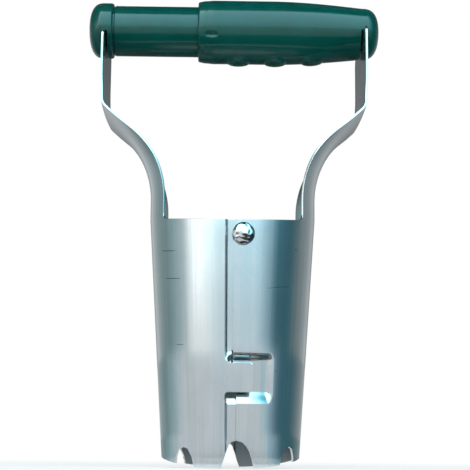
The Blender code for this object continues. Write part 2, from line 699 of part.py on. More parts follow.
def rivet(name, front, home, finish):
    """Domed outer head, shank through both sheets, flat button inside, square to the wall."""
    wall = tube_radius(RIVET_HEIGHT)
    sag_in = RIVET_BUTTON ** 2 / (2.0 * wall)
    head = wall + TOUCH
    inner = wall - 2.0 * SHEET - FLANGE_GAP - TOUCH - sag_in
    tip = inner - RIVET_BUTTON_HEIGHT
    profile = ellipse_cap(RIVET_HEAD, head + EDGE_BREAK, head + EDGE_BREAK + RIVET_DOME, 7)
    profile += [(RIVET_HEAD, head), (RIVET_SHANK, head), (RIVET_SHANK, inner), (RIVET_BUTTON, inner),
                (RIVET_BUTTON, tip + EDGE_BREAK), (RIVET_BUTTON - EDGE_BREAK, tip), (0.0, tip)]
    item = turned(name, profile, 28)
    for vert in item.data.vertices:
        vert.co.z -= wall
    outward = Vector((math.sin(RIVET_AZIMUTH), -math.cos(RIVET_AZIMUTH), 0.0))
    if not front:
        outward = -outward
    lean = math.atan(TAPER)
    normal = (outward * math.cos(lean) + Vector((0.0, 0.0, -math.sin(lean)))).normalized()
    item.location = outward * wall + Vector((0.0, 0.0, RIVET_HEIGHT))
    item.rotation_mode = "QUATERNION"
    item.rotation_quaternion = normal.to_track_quat("Z", "Y")
    return place(item, home, finish)


def main():
    clear_scene()
    parts = collection(COLLECTION)
    tools = collection("cutters")
    steel = material("galvanised_steel", (0.42, 0.50, 0.52), 0.35, 0.9)
    steel_right = material("galvanised_steel_right", (0.42, 0.50, 0.52), 0.35, 0.9)
    bright = material("rivet_steel", (0.70, 0.72, 0.74), 0.15, 1.0)
    bright_rear = material("rear_rivet_steel", (0.70, 0.72, 0.74), 0.15, 1.0)
    sleeve_green = material("sleeve_green", (0.0, 0.10, 0.065), 0.25, 0.0)
    grip_green = material("grip_green", (0.0, 0.10, 0.065), 0.25, 0.0)
    seat_left = material("left_seat_plastic", (0.05, 0.05, 0.05), 0.5, 0.0)
    seat_right = material("right_seat_plastic", (0.05, 0.05, 0.05), 0.5, 0.0)
    wire = material("spring_wire", (0.45, 0.45, 0.46), 0.3, 1.0)

    half = half_shell_mesh(tools)
    left = place(bpy.data.objects.new("left_half_shell", half), parts)
    left.data.materials.append(steel)
    right_mesh = half.copy()
    right = place(bpy.data.objects.new("right_half_shell", right_mesh), parts)
    right.data.materials[0] = steel_right
    right.rotation_euler = (0.0, 0.0, math.pi)

    axis = bpy.data.objects.new("release_axis", None)
    axis.location = (0.0, 0.0, RIVET_HEIGHT)
    parts.objects.link(axis)
    left.parent = axis
    left.location = (0.0, 0.0, -RIVET_HEIGHT)

    rivet("front_rivet", True, parts, bright)
    rivet("rear_rivet", False, parts, bright_rear)
    inner_sleeve(parts, tools, sleeve_green)
    outer_grip(parts, tools, grip_green)
    spring_seat("left_spring_seat", -1, SLEEVE_BORE - TOUCH, parts, tools, seat_left)
    spring_seat("right_spring_seat", 1, GRIP_NARROW_BORE - TOUCH, parts, tools, seat_right)
    return_spring(parts, wire)


main()
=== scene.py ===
import math

import bmesh
import bpy
from mathutils import Matrix, Vector, noise


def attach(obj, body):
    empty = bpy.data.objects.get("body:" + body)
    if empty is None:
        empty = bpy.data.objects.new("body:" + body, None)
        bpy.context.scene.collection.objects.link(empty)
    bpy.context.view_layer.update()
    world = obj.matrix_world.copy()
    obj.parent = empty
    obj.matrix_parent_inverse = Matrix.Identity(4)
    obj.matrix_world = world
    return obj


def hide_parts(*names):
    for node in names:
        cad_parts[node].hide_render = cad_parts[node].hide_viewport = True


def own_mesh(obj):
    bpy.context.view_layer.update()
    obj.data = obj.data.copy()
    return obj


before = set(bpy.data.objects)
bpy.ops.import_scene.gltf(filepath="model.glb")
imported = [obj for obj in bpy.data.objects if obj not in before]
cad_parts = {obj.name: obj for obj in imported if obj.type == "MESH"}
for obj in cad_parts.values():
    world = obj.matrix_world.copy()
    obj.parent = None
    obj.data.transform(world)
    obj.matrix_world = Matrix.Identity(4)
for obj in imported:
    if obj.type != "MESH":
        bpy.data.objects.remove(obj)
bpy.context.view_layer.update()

# Sheet and tube, as in the part: metres, angles as azimuths from the front
SHEET = 0.0010
TUBE_TOP_RADIUS = 0.0402
TUBE_BOTTOM_RADIUS = 0.0324
RIM_HEIGHT = 0.1188
TOOTH_SIDE_HEIGHT = 0.00476
EDGE_DROP = 0.178
EDGE_DROP_ROUND = 0.006

# Seam, tongue and pocket
FLANGE_GAP = 0.0004
JOGGLE_START = math.radians(-5.6)
JOGGLE_END = math.radians(-3.6)
FLANGE_END = math.radians(13.0)
FREE_EDGE = math.radians(0.6)
FREE_EDGE_LOW = math.radians(3.4)
FLANGE_FOOT = 0.0126
TONGUE_TOP = 0.0475
TONGUE_FOOT = 0.0341
TONGUE_END = math.radians(16.2)
TONGUE_CORNER = 0.0016
RELIEF_AZIMUTH = math.radians(-0.5)
RELIEF_DROP = 0.0012
RELIEF_RADIUS = 0.0020
RELIEF_TOP = 0.0530
SLOT_FOOT = 0.0287
LOW_EDGE_STEP = 0.0002
POCKET_TOP = 0.0523
POCKET_FOOT = 0.0283
POCKET_END = math.radians(33.0)
POCKET_DEPTH = 0.0026
POCKET_WALL = 0.0042
POCKET_FOOT_WALL = 0.0066
POCKET_WALL_ANGLE = math.radians(5.0)
POCKET_FOOT_LEAD = 0.0015
SEAM_NOTCH = ((-11.0, -0.004), (-8.6, 0.0002), (-6.5, 0.0032), (-4.4, 0.0072), (-2.4, 0.0103),
              (0.4, 0.0119), (4.0, 0.0123), (8.3, 0.0117), (11.9, 0.0101), (14.8, 0.0074),
              (16.9, 0.0040), (18.6, 0.0002), (20.4, -0.004))
NOTCH_APEX = 6
# Points of the tongue's rounded corner and of the slot's rounded end, as shares of their radii
TONGUE_ROUND = ((1.0, 0.0), (0.6, 0.08), (0.3, 0.3), (0.08, 0.6), (0.0, 1.0))
SLOT_ROUND = ((0.0, 0.9), (0.06, 0.45), (0.3, 0.12), (0.6, 0.0))
FLANK_NOTCH_A = ((-53.4, -0.004), (-50.6, 0.0050), (-47.2, 0.0084), (-42.0, 0.0095),
                 (-37.2, 0.0086), (-33.4, 0.0050), (-29.8, -0.004))
FLANK_NOTCH_B = ((41.8, -0.004), (44.8, 0.0050), (48.8, 0.0088), (54.0, 0.0099),
                 (58.8, 0.0090), (62.2, 0.0056), (64.8, -0.004))

# Arm
ARM_WIDTH = 0.0480
ARM_FOOT_FILLET = 0.0026
ARM_STRAIGHT = 0.0094
ARM_LEAN = math.radians(43.5)
ARM_LOW_BEND = 0.0450
ARM_TOP_BEND = 0.0070
ARM_FLATTENING = 0.052
ARM_LEFT_CURVE = 0.07
ARM_CORNER = 0.0050
ARM_TOP_A = 0.0062
ARM_TOP_B = 0.0018

# Rivets
RIVET_AZIMUTH = math.radians(6.6)
RIVET_HEIGHT = RIM_HEIGHT - 0.0127
RIVET_SHANK = 0.0025
RIVET_HEAD = 0.0053
RIVET_DOME = 0.0028
RIVET_BUTTON = 0.0044
RIVET_BUTTON_HEIGHT = 0.0014
HAMMER_DEPTH = 0.00050
HAMMER_SCALE = 620.0
HAMMER_FADE = 0.0010
RIVET_STEPS = 64

# Handle
HANDLE_HEIGHT = 0.2155
HANDLE_HALF_LENGTH = 0.0725
ARM_SPAN = HANDLE_HALF_LENGTH - 0.0085
COLLAR_RADIUS = 0.0138
COLLAR_SHOULDER = -HANDLE_HALF_LENGTH + 0.0122
COLLAR_DOME = 0.0077
DOME_SQUARENESS = 2.7
SLEEVE_RADIUS = 0.0125
SLEEVE_BORE = 0.0108
SLEEVE_END = 0.0180
GRIP_MOUTH = -0.0180
GRIP_MOUTH_RADIUS = 0.0150
GRIP_BELLY_RADIUS = 0.0158
GRIP_TAIL_RADIUS = 0.0128
GRIP_TAIL = HANDLE_HALF_LENGTH - 0.0085
BELLY_START = 0.0180
BELLY_END = -0.0100
BELLY_FADE = 0.0042
LIP_LENGTH = 0.0033
GRIP_STEP = 0.0385
GRIP_NARROW_BORE = 0.0092
RUNNING = 0.00035
GROOVE = 0.0005
EDGE_BREAK = 0.0006
GRIP_RINGS = 190
END_SLOT = 0.0024
SLOT_TOP_A = 0.0047
SLOT_TOP_B = 0.0003
NUB_PLACES = (0.0022, 0.0206, 0.0392)
NUB_LENGTH = 0.0108
NUB_WIDTH = 0.0130
NUB_PROUD = 0.0012
NUB_SPARE = 0.0002
DENT_PLACE = -0.0113
DENT_LENGTH = 0.0070
DENT_DEPTH = 0.0009
DENT_HEIGHT = 0.0030
DENT_ANGLE = math.radians(22.0)

# Spring
SEAT_THICK = 0.0025
PEG_RADIUS = 0.0016
PEG_DROP = 0.0066
PEG_PLAY = 0.00045
PEG_SLIP = 0.0024
WIRE = 0.0014
SPRING_RADIUS = 0.0070
SPRING_TURNS = 22
TOUCH = 0.0003

# Bend lines of the fine stampings, the break of their sheared edges, and how far cuts run past the blank
SCORE_ROUND = 0.0022
SCORE_TUBE = 0.0080
SCORE_ARM = 0.0022
SCORE_TIGHT = 0.00045
SHEARED_BREAK = 0.00030
PAST_EDGE = 0.0100
BLANK_SPARE = 0.002


def smooth_step(value):
    value = min(max(value, 0.0), 1.0)
    return value * value * (3.0 - 2.0 * value)


# Shader building

def set_inputs(tree, sockets, sources):
    """Links or sets each input that the sources name."""
    for name, value in sources.items():
        if isinstance(value, bpy.types.NodeSocket):
            tree.links.new(value, sockets[name])
        else:
            sockets[name].default_value = value


def add(tree, kind, inputs=None, **settings):
    """A node with its settings made and its inputs set or linked."""
    made = tree.nodes.new("ShaderNode" + kind)
    for name, value in settings.items():
        setattr(made, name, value)
    set_inputs(tree, made.inputs, inputs or {})
    return made


def maths(tree, operation, first, second=0.0, third=0.0):
    return add(tree, "Math", {0: first, 1: second, 2: third}, operation=operation).outputs[0]


def times(tree, first, second):
    return maths(tree, "MULTIPLY", first, second)


def vector_maths(tree, operation, first, second=(0.0, 0.0, 0.0), result=0):
    return add(tree, "VectorMath", {0: first, 1: second}, operation=operation).outputs[result]


def scaled(tree, vector, size):
    return add(tree, "VectorMath", {0: vector, "Scale": size}, operation="SCALE").outputs[0]


def clamped(tree, value):
    return add(tree, "Clamp", {"Value": value}).outputs[0]


def spread(tree, value, low, high, new_low=0.0, new_high=1.0):
    """Maps a stretch of values onto another, held at the ends."""
    made = add(tree, "MapRange", {"Value": value, "From Min": low, "From Max": high,
                                  "To Min": new_low, "To Max": new_high})
    return made.outputs["Result"]


def mixed(tree, share, first, second):
    return add(tree, "Mix", {0: share, 6: first, 7: second}, data_type="RGBA").outputs[2]


def mottle(tree, place, scale, detail, roughness=0.5, distortion=0.0):
    """Cloudy noise from 0 to 1."""
    return add(tree, "TexNoise", {"Vector": place, "Scale": scale, "Detail": detail, "Roughness": roughness,
                                  "Distortion": distortion}).outputs["Fac"]


def colour(red, green, blue):
    return (red, green, blue, 1.0)


def object_place(tree):
    return add(tree, "TexCoord").outputs["Object"]


def group(name, sockets_in, sockets_out):
    """An empty node group with named sockets, and its two end nodes."""
    tree = bpy.data.node_groups.new(name, "ShaderNodeTree")
    for label, kind in sockets_in:
        tree.interface.new_socket(label, in_out="INPUT", socket_type="NodeSocket" + kind)
    for label in sockets_out:
        tree.interface.new_socket(label, in_out="OUTPUT", socket_type="NodeSocketFloat")
    return tree, tree.nodes.new("NodeGroupInput").outputs, tree.nodes.new("NodeGroupOutput").inputs


def rolled_streaks_group():
    """Long faint streaks that rolling leaves along a sheet, with cloudy patches between them."""
    tree, given, result = group(
        "Rolled streaks", [("Place", "Vector"), ("Across", "Float"), ("Along", "Float")],
        ["Streaks", "Clouds", "Height"])
    stretch = add(tree, "CombineXYZ", {"X": given["Across"], "Y": given["Along"], "Z": 1.0}).outputs[0]
    along = vector_maths(tree, "MULTIPLY", given["Place"], stretch)
    fine = mottle(tree, along, 1.0, 3.0, 0.6)
    wide = mottle(tree, vector_maths(tree, "MULTIPLY", along, (0.22, 0.35, 1.0)), 1.0, 2.0)
    clouds = mottle(tree, given["Place"], 55.0, 4.0, 0.6, 0.4)
    grain = mottle(tree, given["Place"], 2600.0, 2.0)
    both = maths(tree, "ADD", times(tree, fine, 0.45), times(tree, wide, 0.55))
    height = maths(tree, "ADD", times(tree, fine, 0.7), times(tree, grain, 0.3))
    tree.links.new(spread(tree, both, 0.36, 0.64), result["Streaks"])
    tree.links.new(spread(tree, clouds, 0.35, 0.68), result["Clouds"])
    tree.links.new(height, result["Height"])
    return tree


def scratch_group():
    """One straight scratch between two places, fading towards its ends."""
    tree, given, result = group(
        "Scratch", [("Place", "Vector"), ("Start", "Vector"), ("End", "Vector"), ("Width", "Float")], ["Mask"])
    line = vector_maths(tree, "SUBTRACT", given["End"], given["Start"])
    reach = vector_maths(tree, "SUBTRACT", given["Place"], given["Start"])
    dot = vector_maths(tree, "DOT_PRODUCT", reach, line, "Value")
    size = vector_maths(tree, "DOT_PRODUCT", line, line, "Value")
    share = clamped(tree, maths(tree, "DIVIDE", dot, size))
    apart = vector_maths(tree, "SUBTRACT", reach, scaled(tree, line, share))
    distance = vector_maths(tree, "LENGTH", apart, result="Value")
    off = maths(tree, "DIVIDE", distance, times(tree, given["Width"], 0.5))
    body = maths(tree, "SUBTRACT", 1.0, maths(tree, "SMOOTH_MIN", off, 1.0, 0.2))
    ends = times(tree, times(tree, share, maths(tree, "SUBTRACT", 1.0, share)), 4.0)
    fade = maths(tree, "POWER", clamped(tree, ends), 0.35)
    tree.links.new(clamped(tree, times(tree, body, fade)), result["Mask"])
    return tree


def hairlines_group():
    """Sparse thin marks from handling, in two crossing directions."""
    tree, given, result = group("Hairlines", [("Place", "Vector"), ("Scale", "Float")], ["Mask"])
    masks = []
    for turn, offset in ((0.35, 0.0), (-0.8, 7.0)):
        turned = add(tree, "VectorRotate", {"Vector": given["Place"], "Angle": turn}).outputs[0]
        stretched = vector_maths(tree, "MULTIPLY", scaled(tree, turned, given["Scale"]), (30.0, 1.0, 1.0))
        shifted = vector_maths(tree, "ADD", stretched, (offset, offset, 0.0))
        masks.append(spread(tree, mottle(tree, shifted, 1.0, 0.0), 0.72, 0.80))
    tree.links.new(maths(tree, "MAXIMUM", masks[0], masks[1]), result["Mask"])
    return tree


STREAKS = rolled_streaks_group()
SCRATCH = scratch_group()
HAIRLINES = hairlines_group()


def use_group(tree, kind, inputs):
    return add(tree, "Group", inputs, node_tree=kind).outputs


def surface(name):
    """A new material with its tree and its Principled shader."""
    made = bpy.data.materials.new(name)
    made.use_nodes = True
    return made, made.node_tree, made.node_tree.nodes["Principled BSDF"]


def feed(tree, shader, **sources):
    """Links or sets the shader's sockets; underscores in a name stand for spaces."""
    set_inputs(tree, shader.inputs, {name.replace("_", " "): value for name, value in sources.items()})


def bump(tree, height, distance, strength):
    return add(tree, "Bump", {"Height": height, "Distance": distance, "Strength": strength}).outputs[0]


def blank_place(tree):
    """Place on the flat blank, in metres: across the sheet and up it."""
    return add(tree, "UVMap", uv_map="blank").outputs[0]


def inner_side_shade(tree):
    """1 on the tube's inner side, which the sheet paints darker as shade and makes rougher, and 0 elsewhere.
    """
    around = add(tree, "TexCoord").outputs
    from_axis = vector_maths(tree, "MULTIPLY", around["Object"], (1.0, 1.0, 0.0))
    facing = vector_maths(tree, "DOT_PRODUCT", from_axis, around["Normal"], "Value")
    up = add(tree, "SeparateXYZ", {"Vector": around["Object"]}).outputs["Z"]
    return times(tree, maths(tree, "LESS_THAN", facing, -0.02), maths(tree, "LESS_THAN", up, RIM_HEIGHT))


def zinc_sheet(name, scratches, seed):
    """Bright zinc on rolled sheet steel, streaked along the sheet and lightly scratched."""
    made, tree, shader = surface(name)
    place = vector_maths(tree, "ADD", blank_place(tree), (seed, seed, 0.0))
    streaks = use_group(tree, STREAKS, {"Place": place, "Across": 520.0, "Along": 16.0})
    hairs = use_group(tree, HAIRLINES, {"Place": place, "Scale": 45.0})["Mask"]
    plain = mixed(tree, streaks["Streaks"], colour(0.60, 0.66, 0.68), colour(0.72, 0.77, 0.78))
    patchy = mixed(tree, times(tree, streaks["Clouds"], 0.45), plain, colour(0.56, 0.63, 0.66))
    shade = mixed(tree, times(tree, hairs, 0.25), patchy, colour(0.75, 0.80, 0.82))
    scratched = 0.0
    for start, end, width in scratches:
        one = use_group(tree, SCRATCH, {"Place": blank_place(tree), "Start": (*start, 0.0),
                                        "End": (*end, 0.0), "Width": width})["Mask"]
        scratched = maths(tree, "MAXIMUM", scratched, one)
    shade = mixed(tree, times(tree, scratched, 0.92), shade, colour(0.03, 0.05, 0.055))
    rough = spread(tree, streaks["Streaks"], 0.0, 1.0, 0.24, 0.17)
    rough = maths(tree, "ADD", rough, times(tree, scratched, 0.25))
    height = maths(tree, "SUBTRACT", streaks["Height"], times(tree, scratched, 1.5))
    # Painted shade: the tube's inner side is darkened, as if shaded inside the tube, and made rougher
    inside = inner_side_shade(tree)
    shade = mixed(tree, times(tree, inside, 0.5), shade, colour(0.12, 0.14, 0.15))
    rough = maths(tree, "MULTIPLY_ADD", inside, 0.22, rough)
    feed(tree, shader, Base_Color=shade, Metallic=1.0, Roughness=rough,
         Normal=bump(tree, height, 0.00003, 0.5))
    return made


def grained(name, scale, detail, tones, gloss, relief, metal=1.0, stretch=(0.0, 1.0)):
    """A material whose one fine grain sets its shade, its gloss and its relief."""
    made, tree, shader = surface(name)
    grain = mottle(tree, object_place(tree), scale, detail)
    shade = mixed(tree, spread(tree, grain, *stretch), *tones)
    feed(tree, shader, Base_Color=shade, Metallic=metal, Roughness=spread(tree, grain, 0.3, 0.7, *gloss),
         Normal=bump(tree, grain, *relief))
    return made


def sheared_edge():
    """The cut edge of the sheet: bright and coarsely torn."""
    return grained("sheared_edge", 1800.0, 3.0, (colour(0.54, 0.50, 0.49), colour(0.76, 0.71, 0.70)),
                   (0.28, 0.42), (0.00004, 0.6), stretch=(0.35, 0.7))


def edge_shade_bevel():
    """The broken corners of the cut sheet, painted nearly black as the thin shade along the sheet's edges."""
    return grained("edge_shade_bevel", 900.0, 3.0, (colour(0.028, 0.024, 0.023), colour(0.085, 0.066, 0.062)),
                   (0.30, 0.45), (0.00003, 0.5), stretch=(0.35, 0.7))


def seat_plastic():
    """Matt black plastic of the spring's seats."""
    return grained("seat_plastic", 1800.0, 3.0, (colour(0.035, 0.035, 0.036), colour(0.055, 0.055, 0.057)),
                   (0.45, 0.62), (0.00004, 0.6), metal=0.0)


def spring_wire():
    """Drawn spring wire."""
    return grained("spring_wire", 900.0, 2.0, (colour(0.36, 0.36, 0.37), colour(0.56, 0.56, 0.57)),
                   (0.25, 0.40), (0.00003, 0.5))


def hammered_steel():
    """Bright rivet steel, dimpled by the hammer."""
    made, tree, shader = surface("hammered_rivet_steel")
    place = object_place(tree)
    dimples = add(tree, "TexVoronoi", {"Vector": place, "Scale": 520.0, "Smoothness": 0.6},
                  feature="SMOOTH_F1")
    grain = mottle(tree, place, 2400.0, 2.0)
    shade = mixed(tree, grain, colour(0.66, 0.68, 0.69), colour(0.84, 0.86, 0.87))
    height = maths(tree, "ADD", dimples.outputs["Distance"], times(tree, grain, 0.12))
    feed(tree, shader, Base_Color=shade, Metallic=1.0, Roughness=spread(tree, grain, 0.3, 0.7, 0.10, 0.20),
         Normal=bump(tree, height, 0.0003, 0.35))
    return made


def green_plastic():
    """Glossy moulded plastic, green, with a faint moulding ripple and fine handling marks."""
    made, tree, shader = surface("green_plastic")
    place = object_place(tree)
    ripple = mottle(tree, place, 90.0, 2.0)
    grain = mottle(tree, place, 1500.0, 3.0)
    laid = add(tree, "VectorRotate", {"Vector": place, "Axis": (0.0, 1.0, 0.0), "Angle": 1.2}).outputs[0]
    hairs = use_group(tree, HAIRLINES, {"Place": laid, "Scale": 70.0})["Mask"]
    patches = spread(tree, ripple, 0.35, 0.65)
    shade = mixed(tree, patches, colour(0.0, 0.047, 0.036), colour(0.0, 0.056, 0.044))
    worn = mixed(tree, times(tree, hairs, 0.04), shade, colour(0.02, 0.09, 0.075))
    rough = maths(tree, "ADD", spread(tree, ripple, 0.3, 0.7, 0.11, 0.16), times(tree, hairs, 0.08))
    height = maths(tree, "ADD", times(tree, ripple, 0.8), times(tree, grain, 0.2))
    feed(tree, shader, Base_Color=worn, Roughness=rough, IOR=1.5, Normal=bump(tree, height, 0.00010, 0.25))
    return made


# The half shell as a flat blank: s runs round the tube, v up the sheet, w through it

MID_RIM = TUBE_TOP_RADIUS - SHEET / 2.0
TAPER = (TUBE_TOP_RADIUS - TUBE_BOTTOM_RADIUS) / RIM_HEIGHT
ACROSS = ARM_SPAN - MID_RIM - (ARM_LOW_BEND + ARM_TOP_BEND) * (1 - math.cos(ARM_LEAN))
LEAN_LENGTH = ACROSS / math.sin(ARM_LEAN)
UPRIGHT_HEIGHT = (RIM_HEIGHT + ARM_STRAIGHT + LEAN_LENGTH * math.cos(ARM_LEAN)
                  + (ARM_LOW_BEND + ARM_TOP_BEND) * math.sin(ARM_LEAN))
LOW_BEND_END = ARM_STRAIGHT + ARM_LOW_BEND * ARM_LEAN
TOP_BEND_START = LOW_BEND_END + LEAN_LENGTH
UPRIGHT_START = TOP_BEND_START + ARM_TOP_BEND * ARM_LEAN


def tube_radius(height):
    return TUBE_BOTTOM_RADIUS + TAPER * height


def edge_drop(depth):
    return EDGE_DROP * (math.hypot(depth, EDGE_DROP_ROUND) - EDGE_DROP_ROUND)


def flat(azimuth, height, side="A"):
    """Place in the blank of a point on the tube. Side A is the half with the tongue."""
    depth = tube_radius(height) * math.cos(azimuth)
    round_angle = math.pi / 2 + azimuth if side == "A" else azimuth - math.pi / 2
    return round_angle * MID_RIM, height + edge_drop(depth)


def flat_outline(points, side):
    return [flat(math.radians(azimuth), height, side) for azimuth, height in points]


def blank_height(height):
    return RIM_HEIGHT + UPRIGHT_START + height - UPRIGHT_HEIGHT


def arm_place(run):
    """Point and lean of the arm's middle line at a run along it from the rim."""
    radius, height, lean = MID_RIM, RIM_HEIGHT + min(run, ARM_STRAIGHT), 0.0
    if run > ARM_STRAIGHT:
        lean = min((run - ARM_STRAIGHT) / ARM_LOW_BEND, ARM_LEAN)
        radius += ARM_LOW_BEND * (1 - math.cos(lean))
        height += ARM_LOW_BEND * math.sin(lean)
    if run > LOW_BEND_END:
        straight = min(run, TOP_BEND_START) - LOW_BEND_END
        radius += straight * math.sin(ARM_LEAN)
        height += straight * math.cos(ARM_LEAN)
    if run > TOP_BEND_START:
        lean = ARM_LEAN - min((run - TOP_BEND_START) / ARM_TOP_BEND, ARM_LEAN)
        radius += ARM_TOP_BEND * (math.cos(lean) - math.cos(ARM_LEAN))
        height += ARM_TOP_BEND * (math.sin(ARM_LEAN) - math.sin(lean))
    if run > UPRIGHT_START:
        height += run - UPRIGHT_START
    return radius, height, lean


def arm_curvature(run):
    share = 1.0 - (1.0 - ARM_LEFT_CURVE) * smooth_step((run - ARM_STRAIGHT) / ARM_FLATTENING)
    fade = smooth_step((run - UPRIGHT_START) / (ARM_TOP_BEND * 2.0))
    return max(share * (1.0 - fade), 0.001) / MID_RIM


def inset(azimuth_a, azimuth_b, height):
    """How far the sheet is pressed inwards: the joggled flange and the pocket."""
    step = smooth_step((azimuth_a - JOGGLE_START) / (JOGGLE_END - JOGGLE_START))
    above = smooth_step((height - TONGUE_TOP) / (RELIEF_TOP - TONGUE_TOP))
    below = smooth_step((TONGUE_FOOT - height) / (TONGUE_FOOT - SLOT_FOOT))
    flange = (SHEET + FLANGE_GAP) * step * max(above, below)
    top = (POCKET_TOP - height) / POCKET_WALL
    foot = (height - POCKET_FOOT) / POCKET_FOOT_WALL
    rise = min(max(min(top, foot), 0.0), 1.0)
    side = min(max((POCKET_END - azimuth_b) / POCKET_WALL_ANGLE, 0.0), 1.0)
    pocket = smooth_step(1.0 - math.hypot(1.0 - rise, 1.0 - side))
    return flange + POCKET_DEPTH * pocket


def bend(point):
    """Carries a point of the flat blank to its place on the left half of the tool."""
    s, v, w = point
    angle = s / MID_RIM
    run = v - RIM_HEIGHT
    if run <= 0.0:
        height = v
        for _ in range(3):
            height = v - edge_drop(tube_radius(height) * math.sin(angle))
        height = max(height, 0.0)
        radius = tube_radius(height) - SHEET / 2.0 + w
        radius -= inset(angle - math.pi / 2, angle + math.pi / 2, height)
        return Vector((-radius * math.cos(angle), -radius * math.sin(angle), height))
    radius, height, lean = arm_place(run)
    curve = arm_curvature(run)
    across = math.sin(curve * s) * (1.0 / curve + w)
    outward = w * math.cos(curve * s) - (1.0 - math.cos(curve * s)) / curve
    sink = edge_drop(across) * (1.0 - smooth_step(run / (ARM_STRAIGHT * 3.0)))
    return Vector((-(radius + outward * math.cos(lean)), -across, height - outward * math.sin(lean) - sink))


# Mesh building

# Rings with a smaller radius than this are a single point on the axis
ON_AXIS = 0.00001


def mesh_from(bm, name):
    mesh = bpy.data.meshes.new(name)
    bm.to_mesh(mesh)
    bm.free()
    return mesh


def placed(name, data):
    """A new object in the scene that holds the data."""
    item = bpy.data.objects.new(name, data)
    bpy.context.scene.collection.objects.link(item)
    return item


def prism_mesh(name, outline, low, high):
    bm = bmesh.new()
    face = bm.faces.new([bm.verts.new((p[0], p[1], low)) for p in outline])
    raised = bmesh.ops.extrude_face_region(bm, geom=[face])["geom"]
    corners = [v for v in raised if isinstance(v, bmesh.types.BMVert)]
    bmesh.ops.translate(bm, verts=corners, vec=(0.0, 0.0, high - low))
    bmesh.ops.recalc_face_normals(bm, faces=bm.faces)
    return mesh_from(bm, name)


def round_outline(centre, radius, squeeze=1.0, stretch=0.0, steps=32):
    points = []
    for step in range(steps):
        angle = math.tau * (step + 0.5) / steps
        side = math.copysign(stretch, math.cos(angle))
        points.append((centre[0] + (radius * math.cos(angle) + side) * squeeze,
                       centre[1] + radius * math.sin(angle)))
    return points


def rounded(points, radii, steps=8):
    """A closed outline with an arc of the given radius at each corner."""
    outline = []
    count = len(points)
    for index, radius in enumerate(radii):
        here = Vector(points[index])
        back = (Vector(points[index - 1]) - here).normalized()
        ahead = (Vector(points[(index + 1) % count]) - here).normalized()
        if radius <= 0.0:
            outline.append(here)
            continue
        half = back.angle(ahead) / 2.0
        middle = here + (back + ahead).normalized() * radius / math.sin(half)
        start = here + back * radius / math.tan(half) - middle
        turn = start.angle_signed(here + ahead * radius / math.tan(half) - middle)
        for step in range(steps + 1):
            arm = start.copy()
            arm.rotate(Matrix.Rotation(-turn * step / steps, 2))
            outline.append(middle + arm)
    return outline


def cut_away(mesh, tools, name):
    """The mesh less each tool mesh, exactly, as a new mesh."""
    item = placed(name, mesh)
    helpers = [item]
    for tool in tools:
        helper = placed("tool", tool)
        step = item.modifiers.new("Cut", "BOOLEAN")
        step.operation = "DIFFERENCE"
        step.solver = "EXACT"
        step.object = helper
        helpers.append(helper)
    bpy.context.view_layer.update()
    made = bpy.data.meshes.new_from_object(item.evaluated_get(bpy.context.evaluated_depsgraph_get()))
    for helper in helpers:
        bpy.data.objects.remove(helper, do_unlink=True)
    made.name = name
    return made


def piece(name, mesh, body, node, slot, *finishes):
    """A finished piece: shown in place of a CAD node, riding on its body."""
    item = placed(name, mesh)
    mesh.materials.clear()
    for finish in finishes:
        mesh.materials.append(finish)
    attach(item, body)
    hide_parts(node)
    return item


def smooth(mesh, degrees):
    """Smooth shading, with edges sharper than an angle kept crisp."""
    mesh.shade_smooth()
    mesh.set_sharp_from_angle(angle=math.radians(degrees))


def lines(low, high, gap):
    """Even places between two ends, without the ends."""
    count = max(1, round((high - low) / gap))
    return [low + (high - low) * step / count for step in range(1, count)]


def score(bm, axis, places):
    """Splits the blank's faces at each place along an axis."""
    normal = Vector((0.0, 0.0, 0.0))
    normal[axis] = 1.0
    for spot in places:
        bmesh.ops.bisect_plane(bm, geom=list(bm.verts) + list(bm.edges) + list(bm.faces), dist=2e-6,
                               plane_co=normal * spot, plane_no=normal)


def score_between(bm, axis, low, high, gap):
    score(bm, axis, [low] + lines(low, high, gap) + [high])


def arm_cuts(low_s, high_s, high_v):
    """What leaves the arm standing above the rim, with the hole for the seat's peg."""
    out, half, rim = PAST_EDGE, ARM_WIDTH / 2.0, RIM_HEIGHT
    top_a, top_b = blank_height(HANDLE_HEIGHT - ARM_TOP_A), blank_height(HANDLE_HEIGHT - ARM_TOP_B)
    beside = rounded([(high_s + out, rim), (half, rim), (half, top_a), (-half, top_b), (-half, rim),
                      (low_s - out, rim), (low_s - out, high_v + out), (high_s + out, high_v + out)],
                     [0, ARM_FOOT_FILLET, ARM_CORNER, ARM_CORNER, ARM_FOOT_FILLET, 0, 0, 0])
    peg_v = blank_height(HANDLE_HEIGHT - PEG_DROP)
    return [beside, round_outline((0.0, peg_v), PEG_RADIUS + PEG_PLAY, 1.0, PEG_SLIP)]


